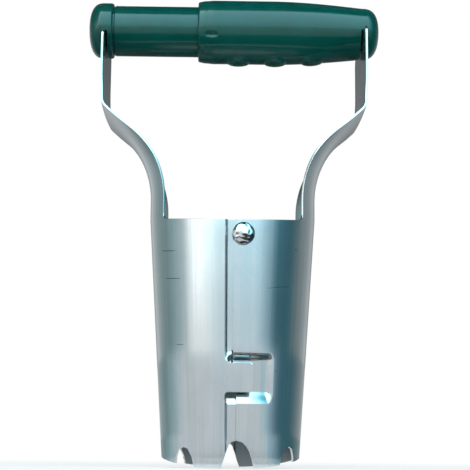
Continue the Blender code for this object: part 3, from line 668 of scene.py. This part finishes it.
def tongue_cuts(high_s):
    """What leaves the flange and the tongue, with the relief hole above and the slot below the tongue."""
    out, corner = PAST_EDGE, TONGUE_CORNER
    flange_s, flange_foot = flat(FLANGE_END, RIM_HEIGHT)[0], flat(FLANGE_END, RELIEF_TOP)[1]
    cuts = [[(flange_s, flange_foot), (high_s + out, flange_foot), (high_s + out, RIM_HEIGHT + out),
             (flange_s, RIM_HEIGHT + out)]]
    relief = flat(RELIEF_AZIMUTH, (RELIEF_TOP + TONGUE_TOP) / 2.0)
    cuts.append(round_outline((relief[0], relief[1] - RELIEF_DROP), RELIEF_RADIUS,
                              MID_RIM / tube_radius(TONGUE_TOP)))
    relief_foot, relief_top = flat(RELIEF_AZIMUTH, TONGUE_TOP)[1], flat(RELIEF_AZIMUTH, RELIEF_TOP)[1]
    top, foot = flat(TONGUE_END, TONGUE_TOP)[1], flat(TONGUE_END, TONGUE_FOOT)[1]
    cuts.append([(relief[0], relief_foot)]
                + [(high_s - corner * back, top - corner * down) for back, down in TONGUE_ROUND]
                + [(high_s + out, top - corner), (high_s + out, relief_top), (relief[0], relief_top)])
    slot_s, slot_high = flat(JOGGLE_START, TONGUE_FOOT)
    slot_low = flat(JOGGLE_START, SLOT_FOOT)[1]
    reach = (slot_high - slot_low) / 2.0
    cuts.append([(slot_s + reach * along, slot_low + reach * up) for along, up in SLOT_ROUND]
                + [(high_s + out, slot_low), (high_s + out, foot + corner)]
                + [(high_s - corner * back, foot + corner * up) for back, up in reversed(TONGUE_ROUND[::2])]
                + [(slot_s + reach * along, slot_high - reach * down)
                   for along, down in reversed(SLOT_ROUND[1:])])
    flange_s, flange_top = flat(FLANGE_END, SLOT_FOOT)[0], slot_low + LOW_EDGE_STEP
    cuts.append([(flange_s, -out), (high_s + out, -out), (high_s + out, flange_top), (flange_s, flange_top)])
    return cuts


def foot_cuts(low_s, high_s):
    """What leaves the teeth, and the free edge that steps back below the tongue."""
    out = PAST_EDGE
    edge_s, step_v = flat(FREE_EDGE_LOW, 0.0, "B")[0], flat(FREE_EDGE_LOW, TONGUE_FOOT, "B")[1]
    foot_v = flat(0.0, FLANGE_FOOT)[1]
    notch_a, notch_b = flat_outline(SEAM_NOTCH, "A"), flat_outline(SEAM_NOTCH, "B")
    apex_a, apex_b = notch_a[NOTCH_APEX], notch_b[NOTCH_APEX]
    return [[(low_s - out, -out), (edge_s, -out), (edge_s, step_v), (low_s - out, step_v)],
            notch_a[:NOTCH_APEX + 1] + [(apex_a[0], foot_v), (high_s + out, foot_v), (high_s + out, -out),
                                        (notch_a[0][0], -out)],
            [(low_s - out, -out), (low_s - out, apex_b[1])] + notch_b[NOTCH_APEX:] + [(notch_b[-1][0], -out)],
            flat_outline(FLANK_NOTCH_A, "A"), flat_outline(FLANK_NOTCH_B, "B")]


def rivet_cuts():
    squeeze = MID_RIM / tube_radius(RIVET_HEIGHT)
    return [round_outline(flat(RIVET_AZIMUTH, RIVET_HEIGHT, side), RIVET_SHANK + TOUCH, squeeze)
            for side in "AB"]


def stamping_mesh():
    """One stamping, finely: the flat blank is cut, its sheared edges are broken, and it is bent."""
    low_s, high_s = flat(FREE_EDGE, RIM_HEIGHT, "B")[0], flat(TONGUE_END, TONGUE_TOP)[0]
    high_v = blank_height(HANDLE_HEIGHT - ARM_TOP_B) + BLANK_SPARE
    foot, rim = TOOTH_SIDE_HEIGHT, RIM_HEIGHT
    cuts = arm_cuts(low_s, high_s, high_v) + tongue_cuts(high_s) + foot_cuts(low_s, high_s) + rivet_cuts()
    outline = [(low_s, foot), (high_s, foot), (high_s, high_v), (low_s, high_v)]
    plate = prism_mesh("plate", outline, -SHEET / 2.0, SHEET / 2.0)
    tools = [prism_mesh("cut", points, -SHEET, SHEET) for points in cuts]
    bm = bmesh.new()
    bm.from_mesh(cut_away(plate, tools, "cut_plate"))
    bmesh.ops.dissolve_limit(bm, angle_limit=0.002, verts=bm.verts, edges=bm.edges)
    for face in bm.faces:
        face.material_index = 1 if abs(face.normal.z) < 0.5 else 0
    sheared = [edge for edge in bm.edges if len(edge.link_faces) == 2
               and 0.5 < sum(abs(face.normal.z) for face in edge.link_faces) < 1.5]
    # The broken edges take the third finish, painted dark as the shade along the cut edges
    bmesh.ops.bevel(bm, geom=sheared, offset=SHEARED_BREAK, segments=2, profile=0.5, affect="EDGES",
                    clamp_overlap=True, material=2)
    score(bm, 0, lines(low_s, high_s, SCORE_ROUND))
    score(bm, 1, lines(foot, rim, SCORE_TUBE) + [rim])
    start = 0.0
    for end, gap in ((ARM_STRAIGHT, SCORE_ARM), (LOW_BEND_END, SCORE_ARM),
                     (TOP_BEND_START, SCORE_ARM * 2.0), (UPRIGHT_START, SCORE_TIGHT * 2.0),
                     (UPRIGHT_START + ARM_TOP_BEND * 2.0, SCORE_ARM)):
        score(bm, 1, lines(rim + start, rim + end, gap) + [rim + end])
        start = end
    score_between(bm, 0, flat(JOGGLE_START, rim)[0], flat(JOGGLE_END, rim)[0], SCORE_TIGHT * 0.8)
    pocket_s = flat(POCKET_END, POCKET_TOP, "B")[0]
    score_between(bm, 0, pocket_s - POCKET_WALL_ANGLE * MID_RIM, pocket_s, SCORE_TIGHT)
    low_v, top_v = flat(FREE_EDGE, POCKET_FOOT)[1] - POCKET_FOOT_LEAD, flat(FREE_EDGE, POCKET_TOP)[1]
    score_between(bm, 1, low_v, low_v + POCKET_FOOT_LEAD + POCKET_FOOT_WALL, SCORE_TIGHT)
    score_between(bm, 1, top_v - POCKET_WALL, top_v, SCORE_TIGHT)
    bmesh.ops.triangulate(bm, faces=[face for face in bm.faces if len(face.verts) > 4])
    sheet_map = bm.loops.layers.uv.new("blank")
    for face in bm.faces:
        for loop in face.loops:
            loop[sheet_map].uv = loop.vert.co.xy
    for vert in bm.verts:
        vert.co = bend(vert.co)
    bmesh.ops.recalc_face_normals(bm, faces=bm.faces)
    mesh = mesh_from(bm, "stamping")
    smooth(mesh, 32.0)
    return mesh


def even_normals(item):
    """Keeps broad faces flat-looking beside their small broken edges."""
    step = item.modifiers.new("Even", "WEIGHTED_NORMAL")
    step.keep_sharp = True
    step.weight = 80


def skin(bm, rings):
    """Faces between rings of vertices that are equal in count, or single at a closed end."""
    for here, after in zip(rings, rings[1:]):
        steps = max(len(here), len(after))
        for step in range(steps):
            after_step = (step + 1) % steps
            if len(here) == 1:
                bm.faces.new([here[0], after[step], after[after_step]])
            elif len(after) == 1:
                bm.faces.new([here[step], after[0], here[after_step]])
            else:
                bm.faces.new([here[step], after[step], after[after_step], here[after_step]])
    bmesh.ops.recalc_face_normals(bm, faces=bm.faces)


def upright_ring(bm, radius, height, steps):
    """Vertices in a ring round the upright axis, or a single one on it."""
    if radius <= ON_AXIS:
        return [bm.verts.new((0.0, 0.0, height))]
    return [bm.verts.new((radius * math.cos(math.tau * step / steps),
                          radius * math.sin(math.tau * step / steps), height)) for step in range(steps)]


def ring_mesh(name, profile, steps=96, relief=None, shaped=0):
    """A closed turned solid along the handle's axis. The relief is on its first rings alone."""
    bm = bmesh.new()
    rings = []
    for index, (radius, spot) in enumerate(profile):
        if radius <= ON_AXIS:
            rings.append([bm.verts.new((spot, 0.0, HANDLE_HEIGHT))])
            continue
        ring = []
        for step in range(steps):
            angle = math.tau * step / steps
            full = radius + (relief(spot, angle) if index < shaped else 0.0)
            ring.append(bm.verts.new((spot, -full * math.cos(angle), HANDLE_HEIGHT + full * math.sin(angle))))
        rings.append(ring)
    skin(bm, rings)
    return mesh_from(bm, name)


def arc(centre, radius, start, end, steps):
    points = []
    for step in range(steps + 1):
        angle = math.radians(start + (end - start) * step / steps)
        points.append((centre[0] + radius * math.cos(angle), centre[1] + radius * math.sin(angle)))
    return points


def dome(radius, base, tip, steps, squareness=2.0):
    """Profile of a domed end, from its tip on the axis to its full radius."""
    points = []
    power = 2.0 / squareness
    for step in range(steps):
        angle = math.pi / 2.0 * (1.0 - step / steps)
        points.append((radius * math.cos(angle) ** power, base + (tip - base) * math.sin(angle) ** power))
    return points + [(radius, base)]


def slot_mesh(centre, front_top, rear_top):
    """The slot that an arm stands in, cut from below right through from front to back."""
    half, width = END_SLOT / 2.0, COLLAR_RADIUS * 2.2
    slope = math.atan2(front_top - rear_top, ARM_WIDTH)
    top = -(front_top + rear_top) / 2.0
    crown = [(half * math.cos(math.pi * step / 10.0), top - half * (1.0 - math.sin(math.pi * step / 10.0)))
             for step in range(11)]
    mesh = prism_mesh("slot", [(-half, -0.08), (half, -0.08)] + crown, -width, width)
    mesh.transform(Matrix.Translation((centre, 0.0, HANDLE_HEIGHT)) @ Matrix.Rotation(slope, 4, "X")
                   @ Matrix.Rotation(math.pi / 2.0, 4, "X"))
    return mesh


def collar_sleeve_mesh():
    left, wall, body = -HANDLE_HALF_LENGTH, -ARM_SPAN - END_SLOT / 2.0, SLEEVE_RADIUS
    corner = EDGE_BREAK * 2.0
    profile = [(0.0, wall), (SLEEVE_BORE, wall), (SLEEVE_BORE, SLEEVE_END), (body - EDGE_BREAK, SLEEVE_END)]
    profile += arc((body - EDGE_BREAK, SLEEVE_END - EDGE_BREAK), EDGE_BREAK, 90.0, 0.0, 4)
    profile += [(body, COLLAR_SHOULDER + GROOVE * 2.0), (body - GROOVE, COLLAR_SHOULDER + GROOVE),
                (body - GROOVE, COLLAR_SHOULDER)]
    profile += arc((COLLAR_RADIUS - corner, COLLAR_SHOULDER - corner), corner, 90.0, 0.0, 7)
    profile += list(reversed(dome(COLLAR_RADIUS, left + COLLAR_DOME, left, 22, DOME_SQUARENESS)))
    return cut_away(ring_mesh("collar_sleeve", profile), [slot_mesh(-ARM_SPAN, SLOT_TOP_A, SLOT_TOP_B)],
                    "collar_sleeve")


def grip_radius(spot):
    share = min(max((GRIP_TAIL - spot) / (GRIP_TAIL - BELLY_START), 0.0), 1.0)
    return GRIP_TAIL_RADIUS + (GRIP_BELLY_RADIUS - GRIP_TAIL_RADIUS) * math.sin(share * math.pi / 2.0)


def grip_relief(spot, angle):
    """Finger nubs under the grip and the shallow lens in its front, as height above the plain grip."""
    raised = 0.0
    if spot <= GRIP_MOUTH + LIP_LENGTH * 0.9:
        return raised
    below = angle + math.pi / 2.0
    round_place = GRIP_BELLY_RADIUS * math.atan2(math.sin(below), math.cos(below))
    for nub in NUB_PLACES:
        along = (spot - nub) / (NUB_LENGTH / 2.0)
        off = math.hypot(along, round_place / (NUB_WIDTH / 2.0))
        if off < 1.0:
            raised = max(raised, (NUB_PROUD + NUB_SPARE) * math.sqrt(1.0 - off * off))
    if abs(math.sin(angle)) < 0.8 and math.cos(angle) > 0.0:
        signed = angle if angle < math.pi else angle - math.tau
        high = GRIP_BELLY_RADIUS * signed + GRIP_BELLY_RADIUS * DENT_ANGLE
        along = (spot - DENT_PLACE) / (DENT_LENGTH / 2.0)
        off = math.hypot(along, high / (DENT_HEIGHT / 2.0))
        if off < 1.0:
            raised -= DENT_DEPTH * (1.0 - off * off)
    return raised


def grip_mesh():
    bore, wall = SLEEVE_RADIUS + RUNNING, ARM_SPAN + END_SLOT / 2.0
    profile = dome(GRIP_TAIL_RADIUS, GRIP_TAIL, HANDLE_HALF_LENGTH, 20, DOME_SQUARENESS)
    for step in range(1, GRIP_RINGS + 1):
        spot = GRIP_TAIL + (GRIP_MOUTH + LIP_LENGTH - GRIP_TAIL) * step / GRIP_RINGS
        full = grip_radius(spot) - EDGE_BREAK / 2.0 * smooth_step((BELLY_END - spot) / BELLY_FADE)
        profile.append((full, spot))
    shaped = len(profile)
    corner = EDGE_BREAK * 1.6
    profile += arc((GRIP_MOUTH_RADIUS - corner, GRIP_MOUTH + corner), corner, 0.0, -90.0, 8)
    profile += [(bore + EDGE_BREAK, GRIP_MOUTH), (bore, GRIP_MOUTH + EDGE_BREAK), (bore, GRIP_STEP),
                (GRIP_NARROW_BORE, GRIP_STEP), (GRIP_NARROW_BORE, wall), (0.0, wall)]
    return cut_away(ring_mesh("grip", profile, 160, grip_relief, shaped),
                    [slot_mesh(ARM_SPAN, SLOT_TOP_B, SLOT_TOP_A)], "grip")


# Studio and camera

# Colours and levels of the cards, by angle in degrees
CARD_WALLS = [(-180, 0.13, 0.14, 0.145), (-170, 0.20, 0.21, 0.215), (-154, 0.62, 0.64, 0.65),
              (-128, 0.31, 0.38, 0.385), (-106, 0.20, 0.29, 0.30), (-86, 0.37, 0.50, 0.52),
              (-70, 0.62, 0.67, 0.69), (-60, 1.62, 1.68, 1.68), (-34, 1.58, 1.64, 1.64),
              (-24, 0.96, 1.05, 1.08), (0, 0.72, 0.86, 0.95), (34, 0.75, 0.91, 1.02), (48, 0.40, 0.54, 0.62),
              (66, 0.05, 0.14, 0.18), (92, 0.05, 0.14, 0.17), (112, 0.21, 0.25, 0.26), (152, 0.50, 0.52, 0.53),
              (170, 0.15, 0.16, 0.165), (180, 0.13, 0.14, 0.145)]
FRONT_LEVELS = [(-90, 0.03, 0.04, 0.04), (-29, 0.03, 0.04, 0.04), (-22, 0.80, 0.82, 0.84), (4, 1.0, 1.0, 1.0),
                (9, 1.6, 2.3, 2.35), (28, 2.2, 3.3, 3.4), (66, 2.8, 4.4, 4.6), (71, 0.05, 0.07, 0.07),
                (90, 0.05, 0.07, 0.07)]
SIDE_LEVELS = [(-90, 0.4), (-27, 0.4), (-15, 0.8), (0, 1.0), (14, 1.0), (26, 0.26), (90, 0.07)]
FRONT_SPREAD = [(-180, 0.0), (-42, 0.0), (-30, 1.0), (68, 1.0), (84, 0.0), (180, 0.0)]
CARD_CAP = [(-90, 0.66), (-8, 0.72), (-5, 0.86), (-2, 1.2), (2, 1.8), (90, 4.0)]
FOOT_CAP = (0.66, 0.66 * 1.03, 0.66 * 1.06)
CARD_MIDDLE = 0.12
CARD_REACH = 3.6
CARD_TOP_RADIUS = 0.02
CARD_LIFT = 0.0006
LOW_CARD_RADII = (0.042, 0.2, 0.5, CARD_REACH)
FOOT_FINS = [(0.044, 0.0028), (0.060, 0.0125), (0.100, 0.052)]
STAGE_STEPS = 72
FLOOR_DROP = 0.0002
# Distances between which the floor turns white, and the share of white at each
FLOOR_WHITENING = (0.12, 0.40, 0.72, 1.0)
FLOOR_SHADE = colour(0.80, 0.80, 0.80)
WHITE = colour(1.0, 1.0, 1.0)
SOFTBOX_PLACE = (-0.35, -0.15, 1.5)
SOFTBOX_SIZE = (1.2, 1.0)
SOFTBOX_WATTS = 6.0
CAMERA_AIM = (0.0013, 0.0, 0.1121)
CAMERA_DISTANCE = 0.6125
CAMERA_RISE = math.radians(9.8)
CAMERA_SWING = math.radians(0.84)
CAMERA_ROLL = math.radians(0.5)
CAMERA_SENSOR = 36.0
FOCAL_PIXELS = 1250.0
PICTURE_PIXELS = 470.0


def background_rays(tree):
    """1 for the rays that see the white background: from the camera, off gloss and through glass."""
    path = add(tree, "LightPath").outputs
    seen = maths(tree, "MAXIMUM", path["Is Camera Ray"], path["Is Glossy Ray"])
    return maths(tree, "MAXIMUM", seen, path["Is Transmission Ray"])


def ramp(tree, share, stops, limit):
    """Colours or levels by angle, for a share that runs from minus the limit to the limit."""
    made = add(tree, "ValToRGB", {"Fac": share})
    elements = made.color_ramp.elements
    while len(elements) < len(stops):
        elements.new(0.5)
    for element, (angle, *levels) in zip(elements, stops):
        element.position = (angle + limit) / (2.0 * limit)
        element.color = (levels * 3 + [1.0] if len(levels) == 1 else levels + [1.0])
    return made.outputs[0]


def card_finish(name, by_height):
    """Lit cards: strips of light and dark round the tool, and one tall panel in front of it."""
    made = bpy.data.materials.new(name)
    made.use_nodes = True
    tree = made.node_tree
    tree.nodes.clear()
    direction = vector_maths(tree, "NORMALIZE", object_place(tree))
    parts = add(tree, "SeparateXYZ", {"Vector": direction}).outputs
    round_angle = maths(tree, "ARCTAN2", parts["X"], times(tree, parts["Y"], -1.0))
    turn = maths(tree, "MULTIPLY_ADD", round_angle, 1.0 / math.tau, 0.5)
    walls = ramp(tree, turn, CARD_WALLS, 180.0)
    if by_height:
        rise = maths(tree, "MULTIPLY_ADD", maths(tree, "ARCSINE", parts["Z"]), 1.0 / math.pi, 0.5)
        levels = mixed(tree, ramp(tree, turn, FRONT_SPREAD, 180.0), ramp(tree, rise, SIDE_LEVELS, 90.0),
                       ramp(tree, rise, FRONT_LEVELS, 90.0))
        held = vector_maths(tree, "MINIMUM", walls, ramp(tree, rise, CARD_CAP, 90.0))
        lit = vector_maths(tree, "MULTIPLY", held, levels)
    else:
        lit = vector_maths(tree, "MINIMUM", walls, FOOT_CAP)
    glow = add(tree, "Emission", {"Color": lit, "Strength": 1.0})
    add(tree, "OutputMaterial", {"Surface": glow.outputs[0]})
    return made


def turned_stage(name, profile, middle, finish):
    """A stage piece of rings round the tool, out of the camera's sight, lit as seen from a middle height."""
    bm = bmesh.new()
    skin(bm, [upright_ring(bm, radius, height - middle, STAGE_STEPS) for radius, height in profile])
    item = placed(name, mesh_from(bm, name))
    item.location.z = middle
    item.data.materials.append(finish)
    item.visible_camera = False
    return item


def white_world():
    world = bpy.data.worlds.new("studio")
    bpy.context.scene.world = world
    world.use_nodes = True
    tree = world.node_tree
    tree.nodes.clear()
    white = add(tree, "Background", {"Color": WHITE, "Strength": background_rays(tree)})
    add(tree, "OutputWorld", {"Surface": white.outputs[0]})


def lit_cards():
    """The cards that the metal mirrors: a dome round the tool, a low ring, and fins at the tool's foot."""
    cards, foot = card_finish("studio_cards", True), card_finish("foot_cards", False)
    dome_rings = [(CARD_REACH, -FLOOR_DROP)]
    for angle in range(0, 90, 3):
        turn = math.radians(angle)
        dome_rings.append((CARD_REACH * math.cos(turn), CARD_MIDDLE + CARD_REACH * math.sin(turn)))
    dome_rings.append((CARD_TOP_RADIUS, CARD_MIDDLE + CARD_REACH))
    turned_stage("light_cards", dome_rings, CARD_MIDDLE, cards)
    low_rings = [(radius, CARD_LIFT) for radius in LOW_CARD_RADII]
    low_cards = [turned_stage("low_cards", low_rings, HANDLE_HEIGHT, cards)]
    for index, (radius, top) in enumerate(FOOT_FINS):
        low_cards.append(turned_stage(f"foot_fin_{index + 1}", [(radius, CARD_LIFT), (radius, top)],
                                      CARD_MIDDLE, foot))
    for low in low_cards:
        low.visible_diffuse = False
        low.visible_shadow = False


def overhead_softbox():
    light = bpy.data.lights.new("overhead_softbox", "AREA")
    light.shape = "RECTANGLE"
    light.size, light.size_y = SOFTBOX_SIZE
    light.energy = SOFTBOX_WATTS
    item = placed("overhead_softbox", light)
    item.location = SOFTBOX_PLACE
    aim = Vector((0.0, 0.0, CARD_MIDDLE)) - item.location
    item.rotation_euler = aim.to_track_quat("-Z", "Y").to_euler()
    item.visible_glossy = False


def pale_floor():
    """A pale floor that keeps the tool's shadow and turns white away from it."""
    bm = bmesh.new()
    bmesh.ops.create_circle(bm, cap_ends=True, segments=STAGE_STEPS, radius=CARD_REACH)
    floor = placed("floor", mesh_from(bm, "floor"))
    floor.location.z = -FLOOR_DROP
    finish, tree, shader = surface("pale_floor")
    feed(tree, shader, Base_Color=FLOOR_SHADE, Roughness=0.9, Specular_IOR_Level=0.1)
    away = vector_maths(tree, "LENGTH", object_place(tree), result="Value")
    share = times(tree, background_rays(tree), spread(tree, away, *FLOOR_WHITENING))
    glow = add(tree, "Emission", {"Color": WHITE, "Strength": 1.0})
    both = add(tree, "MixShader", {0: share, 1: shader.outputs[0], 2: glow.outputs[0]})
    tree.links.new(both.outputs[0], tree.nodes["Material Output"].inputs["Surface"])
    floor.data.materials.append(finish)


def studio():
    bpy.context.scene.view_settings.view_transform = "Standard"
    white_world()
    lit_cards()
    overhead_softbox()
    pale_floor()


def camera():
    """Low, close camera that looks up a little, as in the photograph."""
    level = math.cos(CAMERA_RISE)
    ahead = Vector((math.sin(CAMERA_SWING) * level, math.cos(CAMERA_SWING) * level, math.sin(CAMERA_RISE)))
    right = ahead.cross(Vector((0.0, 0.0, 1.0))).normalized()
    up = right.cross(ahead)
    tilted_right = right * math.cos(CAMERA_ROLL) + up * math.sin(CAMERA_ROLL)
    tilted_up = up * math.cos(CAMERA_ROLL) - right * math.sin(CAMERA_ROLL)
    lens = bpy.data.cameras.new("camera")
    lens.sensor_width = CAMERA_SENSOR
    lens.lens = FOCAL_PIXELS * CAMERA_SENSOR / PICTURE_PIXELS
    lens.clip_start = 0.01
    item = placed("camera", lens)
    axes = Matrix((tilted_right, tilted_up, -ahead)).transposed().to_4x4()
    item.matrix_world = Matrix.Translation(Vector(CAMERA_AIM) - ahead * CAMERA_DISTANCE) @ axes
    bpy.context.scene.camera = item


# Pieces

def scratch_at(azimuth, height, reach, rise, side, width=0.0006):
    """A scratch given by its middle on the tube, its length and its slope."""
    s, v = flat(math.radians(azimuth), height, side)
    return ((s - reach / 2.0, v - rise / 2.0), (s + reach / 2.0, v + rise / 2.0), width)


def shells():
    left_scratches = [scratch_at(-51.5, 0.1000, 0.0110, 0.0004, "A"),
                      scratch_at(-47.5, 0.0868, 0.0110, 0.0003, "A"),
                      scratch_at(-42.0, 0.0560, 0.0055, 0.0002, "A")]
    right_scratches = [scratch_at(49.0, 0.1010, 0.0022, 0.0, "B"),
                       scratch_at(34.5, 0.0823, 0.0135, 0.0006, "B"),
                       scratch_at(35.0, 0.0440, 0.0010, 0.0, "B", 0.0008)]
    # The corner finish paints the broken edges dark, as painted shade along them
    edge, corner = sheared_edge(), edge_shade_bevel()
    mesh = stamping_mesh()
    left = piece("left_stamping", mesh, "left_half", "left_half_shell", "galvanised_steel",
                 zinc_sheet("zinc_sheet_left", left_scratches, 0.0), edge, corner)
    turned = mesh.copy()
    turned.transform(Matrix.Rotation(math.pi, 4, "Z"))
    right = piece("right_stamping", turned, "right_half", "right_half_shell", "galvanised_steel",
                  zinc_sheet("zinc_sheet_right", right_scratches, 0.37), edge, corner)
    for item in (left, right):
        even_normals(item)


def rivet_mesh(front):
    """Domed head dented by the hammer, shank, and flat button inside."""
    wall = tube_radius(RIVET_HEIGHT)
    sag_in = RIVET_BUTTON ** 2 / (2.0 * wall)
    head = TOUCH
    inner = -2.0 * SHEET - FLANGE_GAP - TOUCH - sag_in
    tip = inner - RIVET_BUTTON_HEIGHT
    profile = dome(RIVET_HEAD, head + EDGE_BREAK, head + EDGE_BREAK + RIVET_DOME, 22)
    profile += [(RIVET_HEAD, head + EDGE_BREAK * 0.4), (RIVET_HEAD - EDGE_BREAK * 0.4, head),
                (RIVET_SHANK, head), (RIVET_SHANK, inner), (RIVET_BUTTON, inner),
                (RIVET_BUTTON, tip + EDGE_BREAK), (RIVET_BUTTON - EDGE_BREAK * 0.3, tip + EDGE_BREAK * 0.3),
                (RIVET_BUTTON - EDGE_BREAK, tip), (0.0, tip)]
    bm = bmesh.new()
    skin(bm, [upright_ring(bm, radius, height, RIVET_STEPS) for radius, height in profile])
    for vert in bm.verts:
        if vert.co.z > head + EDGE_BREAK:
            seed = vert.co * HAMMER_SCALE + Vector((3.0, 5.0 if front else 11.0, 1.0))
            dent = noise.noise(seed) * 0.5 + noise.noise(seed * 0.5) * 0.6
            share = smooth_step((vert.co.z - head - EDGE_BREAK) / HAMMER_FADE)
            vert.co.z -= HAMMER_DEPTH * (0.55 + dent) * share
    outward = Vector((math.sin(RIVET_AZIMUTH), -math.cos(RIVET_AZIMUTH), 0.0))
    if not front:
        outward = -outward
    lean = math.atan(TAPER)
    normal = (outward * math.cos(lean) + Vector((0.0, 0.0, -math.sin(lean)))).normalized()
    place = outward * wall + Vector((0.0, 0.0, RIVET_HEIGHT))
    bm.transform(Matrix.Translation(place) @ normal.to_track_quat("Z", "Y").to_matrix().to_4x4())
    mesh = mesh_from(bm, "rivet")
    smooth(mesh, 50.0)
    return mesh


def rivets():
    steel = hammered_steel()
    piece("front_rivet_dome", rivet_mesh(True), "right_half", "front_rivet", "rivet_steel", steel)
    piece("rear_rivet_dome", rivet_mesh(False), "right_half", "rear_rivet", "rivet_steel", steel)


def handle():
    green = green_plastic()
    sleeve_mesh = collar_sleeve_mesh()
    smooth(sleeve_mesh, 32.0)
    piece("collar_sleeve", sleeve_mesh, "sleeve", "inner_handle_sleeve", "green_plastic", green)
    outer = grip_mesh()
    smooth(outer, 32.0)
    piece("grip", outer, "grip", "outer_grip_sleeve", "green_plastic", green)
    black = seat_plastic()
    for name in ("left_spring_seat", "right_spring_seat"):
        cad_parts[name].material_slots[0].material = black


def spring():
    """The coil between the seats, which rides on the grip."""
    half = ARM_SPAN - END_SLOT / 2.0 - SEAT_THICK - TOUCH - WIRE / 2.0
    per_turn, around = 28, 10
    count = SPRING_TURNS * per_turn
    dead = WIRE * 1.25
    bm = bmesh.new()
    rings = []
    for index in range(count + 1):
        turn = index / per_turn
        live = min(max(turn - 1.0, 0.0), SPRING_TURNS - 2.0) / (SPRING_TURNS - 2.0)
        ends = min(turn, 1.0) + max(turn - SPRING_TURNS + 1.0, 0.0)
        along = -half + ends * dead + live * (2.0 * half - 2.0 * dead)
        angle = math.tau * turn
        ring = []
        for step in range(around):
            tilt = math.tau * step / around
            reach = SPRING_RADIUS + WIRE / 2.0 * math.cos(tilt)
            ring.append(bm.verts.new((along + WIRE / 2.0 * math.sin(tilt), reach * math.cos(angle),
                                      HANDLE_HEIGHT + reach * math.sin(angle))))
        rings.append(ring)
    skin(bm, rings)
    bm.faces.new(rings[0])
    bm.faces.new(rings[-1])
    bmesh.ops.recalc_face_normals(bm, faces=bm.faces)
    mesh = mesh_from(bm, "coil_spring")
    smooth(mesh, 50.0)
    item = piece("coil_spring", mesh, "grip", "return_spring", "spring_wire", spring_wire())
    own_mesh(item)


studio()
camera()
shells()
rivets()
handle()
spring()
